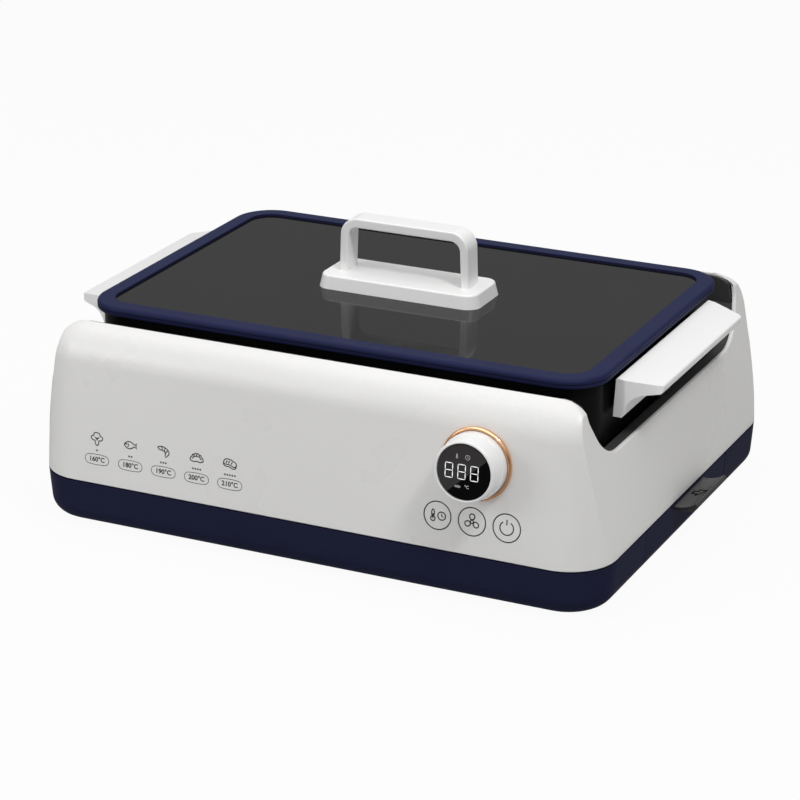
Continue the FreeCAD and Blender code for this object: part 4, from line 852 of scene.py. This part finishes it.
@dataclass
class Display(WallMarks):
    """Fixed display in the dial: figures, units and two small signs."""

    nodes: Names = ("dial_hub", "display_window", "display_module", "dial_encoder", "control_board",
                    "control_board_screws", "touch_key_springs")
    face: float = 20.6
    digit_height: float = 10.2
    digit_width: float = 5.7
    digit_pitch: float = 8.8
    digit_shift: float = -1.4
    stroke: float = 0.6
    bar_gap: float = 0.3
    bar_height: float = 0.04
    labels: tuple[Label, ...] = (Label("display_minutes", "min", 2.7, -3.8, -9.9),
                                 Label("display_degrees", "°C", 2.9, 2.5, -9.6))
    label_bold: float = 0.05
    label_lift: float = 0.03
    sign_x: tuple[float, float] = (-5.0, 2.4)
    sign_up: float = 10.0
    sign_size: float = 1.5
    sign_line: float = 0.3
    sign_lift: float = 0.01
    # Painted reflection on the display window: a lighter grey above a slanting border, in place of a lamp's
    # reflection.
    painted_reflection_tone: Color = (0.044, 0.041, 0.041)
    painted_reflection_slope: Point = (-0.665, 0.748)
    painted_reflection_offset: float = -3.3
    painted_reflection_border: float = 0.08

    def build(self) -> None:
        """Lays the figures, the units and the signs on the window."""
        self._figures()
        self._signs()

    def _segment(self, length: float) -> Object:
        """One bar of a figure along X, about a length in millimetres long and half as wide at its ends."""
        bar = Bench.fresh(bpy.ops.mesh.primitive_cylinder_add, vertices=6, radius=self.stroke / 2 * MM,
                          depth=self.bar_height * MM)
        for side in (1, -1):
            Bench.pick(bar, "VERT", [vertex.index for vertex in bar.data.vertices if vertex.co.x * side > 0])
            bpy.ops.transform.translate(value=(side * (length - self.stroke) / 2 * MM, 0.0, 0.0))
            Bench.close()
        return Bench.move(bar, Matrix.Translation((0.0, 0.0, self.bar_height / 2 * MM)))

    def _figures(self) -> None:
        """Three figures of seven bars each."""
        across = self._segment(self.digit_width - self.stroke - self.bar_gap)
        upright = self._segment(self.digit_height / 2 - self.stroke / 2 - self.bar_gap)
        half_w = (self.digit_width - self.stroke) / 2
        half_h = (self.digit_height - self.stroke) / 2
        quarter = Matrix.Rotation(math.pi / 2, 4, "Z")
        bars = []
        for index in (-1, 0, 1):
            x = self.digit_shift + index * self.digit_pitch
            for y in (-half_h, 0.0, half_h):
                bars.append(Bench.twin(across, self.wall.matrix(x, y, self.face)))
            for side in (-half_w, half_w):
                for y in (-half_h / 2, half_h / 2):
                    bars.append(Bench.twin(upright, self.wall.matrix(x + side, y, self.face) @ quarter))
        for spare in (across, upright):
            bpy.data.objects.remove(spare)
        self.keep(Bench.join(bars, "display_figures"), "display_black", LIT_WHITE)

    def _signs(self) -> None:
        """Units below the figures, and a thermometer and a clock above them."""
        lift = self.face + self.label_lift
        words = [self.lettered(label.name, label.text, label.height, self.label_bold, label.x, label.up, lift)
                 for label in self.labels]
        drawings = {"display_heat": Glyphs.thermometer, "display_time": Glyphs.clock}
        lift = self.face + self.sign_lift
        signs = [self.drawn(name, drawing(self.sign_size), self.sign_line, x, self.sign_up, lift)
                 for x, (name, drawing) in zip(self.sign_x, drawings.items())]
        self.keep(Bench.join(words, "display_units"), "display_black", LIT_DIM)
        self.keep(Bench.join(signs, "display_signs"), "display_black", LIT_DIM)

    def dress(self) -> None:
        """Finishes the nodes, and paints a reflection on the window: a lighter upper half with a slanting border.
        """
        super().dress()
        board = NodeBoard(self.shop.material(FINISHES["display_black"]).node_tree)
        nodes = board.tree.nodes
        tone = next(node for node in nodes if node.type == "MIX").outputs[MIX_RESULT]
        place = next(node for node in nodes if node.type == "TEX_COORD").outputs["Object"]
        across = (self.wall.right * self.painted_reflection_slope[0] + self.wall.up * self.painted_reflection_slope[1]).normalized()
        level = across.dot(self.wall.spot) + self.painted_reflection_offset * MM
        border = self.painted_reflection_border * MM
        # Painted reflection: the window turns lighter grey on one side of a slanting line across it.
        along = board.add("VectorMath", {0: place, 1: across}, operation="DOT_PRODUCT").outputs["Value"]
        share = board.ranged(along, (level - border, level + border))
        painted_reflection = board.blend(share, tone, (*self.painted_reflection_tone, 1.0))
        board.feed(nodes["Principled BSDF"], {"Base Color": painted_reflection})


@dataclass
class DialKnob(SubAssembly):
    """Turning collar and the fixed trim ring behind it."""

    body: str = "dial"
    collar: SoftEdge = SoftEdge(0.35, angle=20.0)
    ring: SoftEdge = SoftEdge(0.3, angle=20.0)

    def build(self) -> None:
        """Rounds the collar and the ring."""
        self.soft_copy("dial_knob", "collar_rounded", self.collar)
        self.soft_copy("dial_trim_ring", "ring_rounded", self.ring, body="housing")


class Glyphs:
    """Own line drawings for the printed marks, each about its middle, in millimetres."""

    @staticmethod
    def ring(x: float, y: float, radius: float, start: float = 0.0, sweep: float = 360.0) -> Line:
        """A circle or an arc.

        Args:
            x: Middle.
            y: Middle.
            radius: Radius.
            start: Where an arc begins, in degrees.
            sweep: How far it goes round, in degrees.

        Returns:
            The line.
        """
        closed = sweep >= 360.0
        count = round(sweep / ARC_STEP)
        steps = count if closed else count + 1
        angles = [math.radians(start + sweep * index / count) for index in range(steps)]
        return Line(tuple((x + radius * math.cos(a), y + radius * math.sin(a)) for a in angles), closed)

    @staticmethod
    def bar(*points: Point) -> Line:
        """Straight runs through points."""
        return Line(points, smooth=False)

    @classmethod
    def thermometer(cls, size: float, x: float = 0.0) -> list[Line]:
        """A thermometer twice its size tall."""
        bulb = cls.ring(x, -0.62 * size, 0.38 * size, 118.0, 304.0)
        half = 0.18 * size
        low = -0.29 * size
        neck = 0.72 * size
        stem = Line(((x - half, low), (x - half, neck), (x, 0.94 * size), (x + half, neck), (x + half, low)))
        return [bulb, stem, cls.bar((x, -0.62 * size), (x, 0.25 * size))]

    @classmethod
    def clock(cls, size: float, x: float = 0.0) -> list[Line]:
        """A clock face with two hands."""
        return [cls.ring(x, 0.0, size), cls.bar((x, 0.6 * size), (x, 0.0), (x + 0.45 * size, -0.2 * size))]

    @classmethod
    def fan(cls, size: float) -> list[Line]:
        """A fan of three blades round a hub."""
        blade = ((0.26, -0.06), (0.55, -0.34), (0.93, -0.2), (0.9, 0.2), (0.55, 0.3), (0.26, 0.1))
        lines = [cls.ring(0.0, 0.0, 0.2 * size)]
        for turn in (90.0, 210.0, 330.0):
            cos, sin = math.cos(math.radians(turn)), math.sin(math.radians(turn))
            points = ((size * (x * cos - y * sin), size * (x * sin + y * cos)) for x, y in blade)
            lines.append(Line(tuple(points), closed=True))
        return lines

    @classmethod
    def power(cls, size: float) -> list[Line]:
        """An open circle with a bar at its top."""
        return [cls.ring(0.0, 0.0, size, 125.0, 290.0), cls.bar((0.0, 0.42 * size), (0.0, 1.22 * size))]

    @staticmethod
    def capsule(half_length: float, half_height: float) -> Line:
        """Outline with half-round ends."""
        points: list[Point] = []
        straight = half_length - half_height
        for side in (1, -1):
            for index in range(round(180.0 / ARC_STEP) + 1):
                angle = math.radians(ARC_STEP * index - 90.0)
                along = straight + half_height * math.cos(angle)
                points.append((side * along, side * half_height * math.sin(angle)))
        return Line(tuple(points), closed=True)

    @classmethod
    def vegetable(cls) -> list[Line]:
        """A floret with three crowns on a stalk."""
        crown = ((-1.5, -0.9), (-3.3, -0.7), (-4.4, 0.7), (-3.9, 2.0), (-2.6, 2.4), (-2.3, 3.8), (-0.8, 4.6),
                 (0.9, 4.5), (2.2, 3.7), (2.6, 2.4), (3.9, 2.0), (4.4, 0.7), (3.3, -0.7), (1.5, -0.9))
        stalk = ((-1.5, -0.9), (-1.2, -2.9), (-0.6, -4.2), (0.6, -4.2), (1.2, -2.9), (1.5, -0.9))
        return [Line(crown), Line(stalk), cls.bar((0.0, -0.9), (0.0, 1.3)), cls.bar((-1.7, 1.5), (-0.2, 0.1)),
                cls.bar((1.7, 1.5), (0.2, 0.1))]

    @classmethod
    def fish(cls) -> list[Line]:
        """A fish that faces left."""
        body = ((-4.9, 0.0), (-3.0, 1.9), (-0.4, 2.5), (2.2, 1.3), (3.4, 0.5))
        tail = ((3.4, 0.5), (4.9, 2.0), (4.4, 0.0), (4.9, -2.0), (3.4, -0.5))
        belly = tuple((x, -y) for x, y in body)
        gill = ((-2.1, 1.3), (-1.5, 0.0), (-2.1, -1.3))
        return [Line(body), Line(belly), cls.bar(*tail), Line(gill), cls.ring(-3.4, 0.5, 0.28)]

    @classmethod
    def shrimp(cls) -> list[Line]:
        """A curled shrimp with its tail below."""
        back = ((-4.6, 2.6), (-1.6, 3.3), (1.6, 2.6), (3.8, 0.6), (4.1, -1.6), (2.8, -3.0))
        belly = ((-4.6, 2.6), (-3.0, 1.0), (-0.6, 0.6), (1.0, -0.4), (1.6, -1.6), (1.2, -2.6))
        tail = ((2.8, -3.0), (1.9, -4.1), (1.2, -2.6))
        ribs = [cls.bar((-1.4, 3.2), (-0.8, 0.7)), cls.bar((1.2, 2.8), (0.7, 0.0)),
                cls.bar((3.4, 1.2), (1.5, -1.0))]
        return [Line(back), Line(belly), cls.bar(*tail), *ribs]

    @classmethod
    def dumpling(cls) -> list[Line]:
        """A half-moon dumpling with pleats."""
        fold = ((-5.0, -2.3), (-4.6, -0.2), (-3.7, 0.6), (-3.0, 1.9), (-1.8, 2.1), (-0.9, 2.9), (0.0, 2.6),
                (0.9, 2.9), (1.8, 2.1), (3.0, 1.9), (3.7, 0.6), (4.6, -0.2), (5.0, -2.3))
        base = ((-5.0, -2.3), (-2.4, -3.0), (0.0, -2.7), (2.4, -3.0), (5.0, -2.3))
        inner = ((-3.6, -1.2), (-2.2, 0.3), (0.0, 0.9), (2.2, 0.3), (3.6, -1.2))
        pleats = [cls.bar((x, y), (x * 0.72, y * 0.3)) for x, y in ((-2.4, 1.7), (0.0, 2.5), (2.4, 1.7))]
        return [Line(fold), Line(base), Line(inner), *pleats]

    @classmethod
    def steak(cls) -> list[Line]:
        """A slice of meat with seared lines."""
        top = ((-4.8, 0.9), (-3.4, 2.8), (-0.6, 3.0), (2.4, 2.0), (4.6, 0.4), (4.4, -1.4), (2.6, -2.0),
               (0.2, -1.0), (-2.2, -0.7), (-4.2, -0.5))
        side = ((-4.8, 0.9), (-4.9, -0.9), (-3.6, -2.0), (-0.8, -2.2), (1.8, -3.3), (4.0, -2.9), (4.7, -1.0))
        marks = [cls.bar((x - 0.5, 0.1), (x + 0.5, 2.0)) for x in (-2.6, -0.8)]
        return [Line(top, closed=True), Line(side), *marks, cls.bar((0.9, -0.3), (1.8, 1.4))]


@dataclass
class Prints(WallMarks):
    """Marks printed on the front wall: touch keys and the five settings.

    The heat and time signs of the first key are given by size and place across.
    """

    key_x: tuple[float, ...] = (-26.0, -1.7, 22.6)
    key_up: float = -39.55
    key_radius: float = 9.5
    key_line: float = 0.85
    heat_sign: Point = (4.0, -3.2)
    time_sign: Point = (2.7, 3.0)
    fan_size: float = 5.4
    power_size: float = 4.7
    menu_x: tuple[float, ...] = (-280.75, -254.6, -228.9, -203.4, -178.1)
    menu_up: float = -45.1
    menu_heat: Names = ("160°C", "180°C", "190°C", "200°C", "210°C")
    heat_height: float = 4.7
    heat_bold: float = 0.13
    heat_lift: float = 0.02
    capsule: Point = (9.2, 3.35)
    capsule_line: float = 0.48
    sign_up: float = -30.6
    sign_line: float = 0.78
    dots_up: float = -38.6
    dot_pitch: float = 1.9
    dot_radius: float = 0.42
    dot_line: float = 0.56

    def build(self) -> None:
        """Prints the keys and the settings."""
        self._keys()
        self._settings()

    def _keys(self) -> None:
        """Three round touch keys, each with its sign."""
        pair = Glyphs.thermometer(*self.heat_sign) + Glyphs.clock(*self.time_sign)
        signs = (pair, Glyphs.fan(self.fan_size), Glyphs.power(self.power_size))
        rim = [Glyphs.ring(0.0, 0.0, self.key_radius)]
        marks = []
        for index, (x, sign) in enumerate(zip(self.key_x, signs)):
            for name, lines in (("key_rim_%d", rim), ("key_sign_%d", sign)):
                marks.append(self.drawn(name % index, lines, self.key_line, x, self.key_up))
        self.keep(Bench.join(marks, "touch_key_marks"), "shell_white", PRINT_GREY)

    def _settings(self) -> None:
        """Five food signs, each over its level dots and its temperature."""
        drawings = (Glyphs.vegetable(), Glyphs.fish(), Glyphs.shrimp(), Glyphs.dumpling(), Glyphs.steak())
        capsule = [Glyphs.capsule(*self.capsule)]
        signs = []
        frames = []
        for index, (x, heat) in enumerate(zip(self.menu_x, self.menu_heat)):
            places = [(step - index / 2) * self.dot_pitch for step in range(index + 1)]
            dots = [Glyphs.ring(place, 0.0, self.dot_radius) for place in places]
            signs += [self.drawn("menu_sign_%d" % index, drawings[index], self.sign_line, x, self.sign_up),
                      self.drawn("menu_dots_%d" % index, dots, self.dot_line, x, self.dots_up),
                      self.lettered("menu_heat_%d" % index, heat, self.heat_height, self.heat_bold,
                                    x, self.menu_up, self.heat_lift)]
            frames.append(self.drawn("menu_frame_%d" % index, capsule, self.capsule_line, x, self.menu_up))
        self.keep(Bench.join(signs, "menu_marks"), "shell_white", PRINT_GREY)
        self.keep(Bench.join(frames, "menu_frames"), "shell_white", PRINT_FINE)


@dataclass
class HeatDeck(SubAssembly):
    """Heating element on its reflector, with the sensor, the cut-out and the drain.

    The spring's wire is given by its radius in millimetres.
    """

    nodes: Names = ("heating_element", "heat_reflector", "reflector_screws", "reflector_spacers",
                    "element_clips", "element_terminals", "drain_funnel", "thermal_cutout",
                    "temperature_sensor", "sensor_guide")
    wire: float = 0.45
    wire_sides: int = 8
    turns: int = 5
    turn_steps: int = 24
    coil_smooth: float = 60.0

    def build(self) -> None:
        """Winds the sensor's spring."""
        low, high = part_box("sensor_spring")
        middle = (low + high) / 2
        height = high.z - low.z
        wire = self.wire * MM
        reach = (high.x - low.x) / 2 - wire
        coil = Bench.fresh(bpy.ops.mesh.primitive_circle_add, vertices=self.wire_sides, radius=wire,
                           rotation=(math.pi / 2, 0.0, 0.0), location=(reach, 0.0, 0.0))
        coil.name = "sensor_coil"
        bpy.ops.object.transform_apply(location=True, rotation=True, scale=True)
        rise = (height - 2 * wire) / self.turns
        Bench.modify(coil, "wind", "SCREW", angle=math.tau, steps=self.turn_steps, use_merge_vertices=True,
                     render_steps=self.turn_steps, iterations=self.turns, screw_offset=rise)
        Bench.edit("EDGE", "DESELECT")
        bpy.ops.mesh.select_non_manifold()
        bpy.ops.mesh.edge_face_add()
        Bench.outward()
        Bench.move(coil, Matrix.Translation((middle.x, middle.y, low.z + wire)))
        Bench.smooth(coil, self.coil_smooth)
        self.keep(coil, "zinc_steel", stands_for=("sensor_spring",))
        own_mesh(coil)


@dataclass
class SmokeFan(SubAssembly):
    """Fan that draws smoke through the filter to the grille at the back."""

    nodes: Names = ("fan_scroll", "fan_motor", "smoke_filter", "exhaust_grille", "fan_shaft",
                    "fan_impeller")


@dataclass
class PowerUnit(SubAssembly):
    """Mains inlet, power board and the drawer's runners in the base."""

    nodes: Names = ("mains_inlet", "mains_inlet_pins", "power_board", "power_board_screws",
                    "power_board_components", "drawer_runners")


@dataclass(frozen=True)
class Lamp:
    """One soft area light: where it stands, where it points, its size in metres and its power in watts."""

    name: str
    spot: Place
    aim: Place
    width: float
    depth: float
    power: float


@dataclass
class Studio:
    """Pale floor, soft lights, white surroundings and the camera."""

    eye: Place = (0.8119, -1.7180, 0.7951)
    target: Place = (-0.01176, 0.0080, 0.06518)
    lens: float = 130.67
    film: float = 36.0
    clip: Point = (0.05, 60.0)
    floor_size: float = 30.0
    floor_tone: float = 0.62
    floor_white: float = 0.95
    floor_mirrored: float = 0.28
    ambient: float = 0.30
    skyline: float = 0.18
    sky_rise: Point = (0.10, 0.80)
    lamps: tuple[Lamp, ...] = (
        Lamp("lamp_top", (-0.10, -0.15, 1.55), (0.0, 0.0, 0.1), 1.9, 1.3, 12.6),
        Lamp("lamp_front", (-1.00, -1.05, 0.60), (-0.15, -0.1, 0.1), 0.7, 0.6, 4.6),
        Lamp("lamp_right", (1.00, -0.60, 1.60), (0.1, 0.0, 0.1), 0.3, 0.3, 12.0),
    )

    def build(self) -> None:
        """Sets up the floor, the surroundings, the lamps and the camera."""
        self._floor()
        self._surroundings()
        for lamp in self.lamps:
            self._lamp(lamp)
        self._camera()

    def _floor(self) -> None:
        """A wide pale floor that shows white, is dimmer in reflections and keeps a faint shadow."""
        floor = Bench.fresh(bpy.ops.mesh.primitive_plane_add, size=self.floor_size)
        floor.name = "studio_floor"
        material = bpy.data.materials.new("floor_pale")
        material.use_nodes = True
        board = NodeBoard(material.node_tree)
        board.tree.nodes.clear()
        rays = board.add("LightPath").outputs
        tone = self.floor_tone
        matt = board.add("BsdfDiffuse", {"Color": (tone, tone, tone, 1.0)}).outputs[0]
        glow = board.ranged(rays["Is Glossy Ray"], wanted=(1.0, self.floor_mirrored))
        white = board.add("Emission", {"Strength": glow}).outputs[0]
        seen = board.largest(rays["Is Camera Ray"], rays["Is Glossy Ray"], rays["Is Transmission Ray"])
        share = board.add("Math", {0: seen, 1: self.floor_white}, operation="MULTIPLY").outputs[0]
        board.add("OutputMaterial", {"Surface": board.choose(share, matt, white)})
        floor.data.materials.append(material)

    def _surroundings(self) -> None:
        """White behind the object, a mirrored sky that dims to the skyline, and a plain level of light."""
        world = bpy.data.worlds.new("studio")
        bpy.context.scene.world = world
        world.use_nodes = True
        board = NodeBoard(world.node_tree)
        board.tree.nodes.clear()
        rays = board.add("LightPath").outputs
        place = board.add("SeparateXYZ", {0: board.add("TexCoord").outputs["Generated"]})
        rise = board.ranged(place.outputs["Z"], self.sky_rise, (self.skyline, 1.0),
                            interpolation_type="SMOOTHSTEP")
        soft, mirrored, white = (
            board.add("Background", {"Color": (1.0, 1.0, 1.0, 1.0), "Strength": strength}).outputs[0]
            for strength in (self.ambient, rise, 1.0))
        lit = board.choose(rays["Is Glossy Ray"], soft, mirrored)
        straight = board.largest(rays["Is Camera Ray"], rays["Is Transmission Ray"])
        board.add("OutputWorld", {"Surface": board.choose(straight, lit, white)})

    @staticmethod
    def _aim(obj: Object, spot: Place, aim: Place) -> None:
        """Turns a lamp or the camera from its spot to its aim."""
        obj.rotation_euler = (Vector(aim) - Vector(spot)).to_track_quat("-Z", "Y").to_euler()

    def _lamp(self, lamp: Lamp) -> None:
        """Hangs one area light."""
        light = Bench.fresh(bpy.ops.object.light_add, type="AREA", location=lamp.spot)
        light.name = lamp.name
        light.data.shape = "RECTANGLE"
        light.data.size = lamp.width
        light.data.size_y = lamp.depth
        light.data.energy = lamp.power
        self._aim(light, lamp.spot, lamp.aim)

    def _camera(self) -> None:
        """Camera at the photograph's place and focal length."""
        camera = Bench.fresh(bpy.ops.object.camera_add, location=self.eye)
        camera.name = "studio_camera"
        camera.data.lens = self.lens
        camera.data.sensor_width = self.film
        camera.data.clip_start, camera.data.clip_end = self.clip
        self._aim(camera, self.eye, self.target)
        bpy.context.scene.camera = camera


def main() -> None:
    """Builds and dresses each sub-assembly, then sets up the studio."""
    logging.basicConfig(level=logging.INFO, format="%(name)s: %(message)s")
    shop = FinishShop()
    groups: tuple[type[SubAssembly], ...] = (
        Casing, Well, GrillPan, Lid, DripDrawer, Display, DialKnob, Prints, HeatDeck, SmokeFan, PowerUnit)
    for kind in groups:
        group = kind(shop)
        group.build()
        group.dress()
    Studio().build()
    bpy.context.scene.view_settings.view_transform = "Standard"


if __name__ == "__main__":
    main()
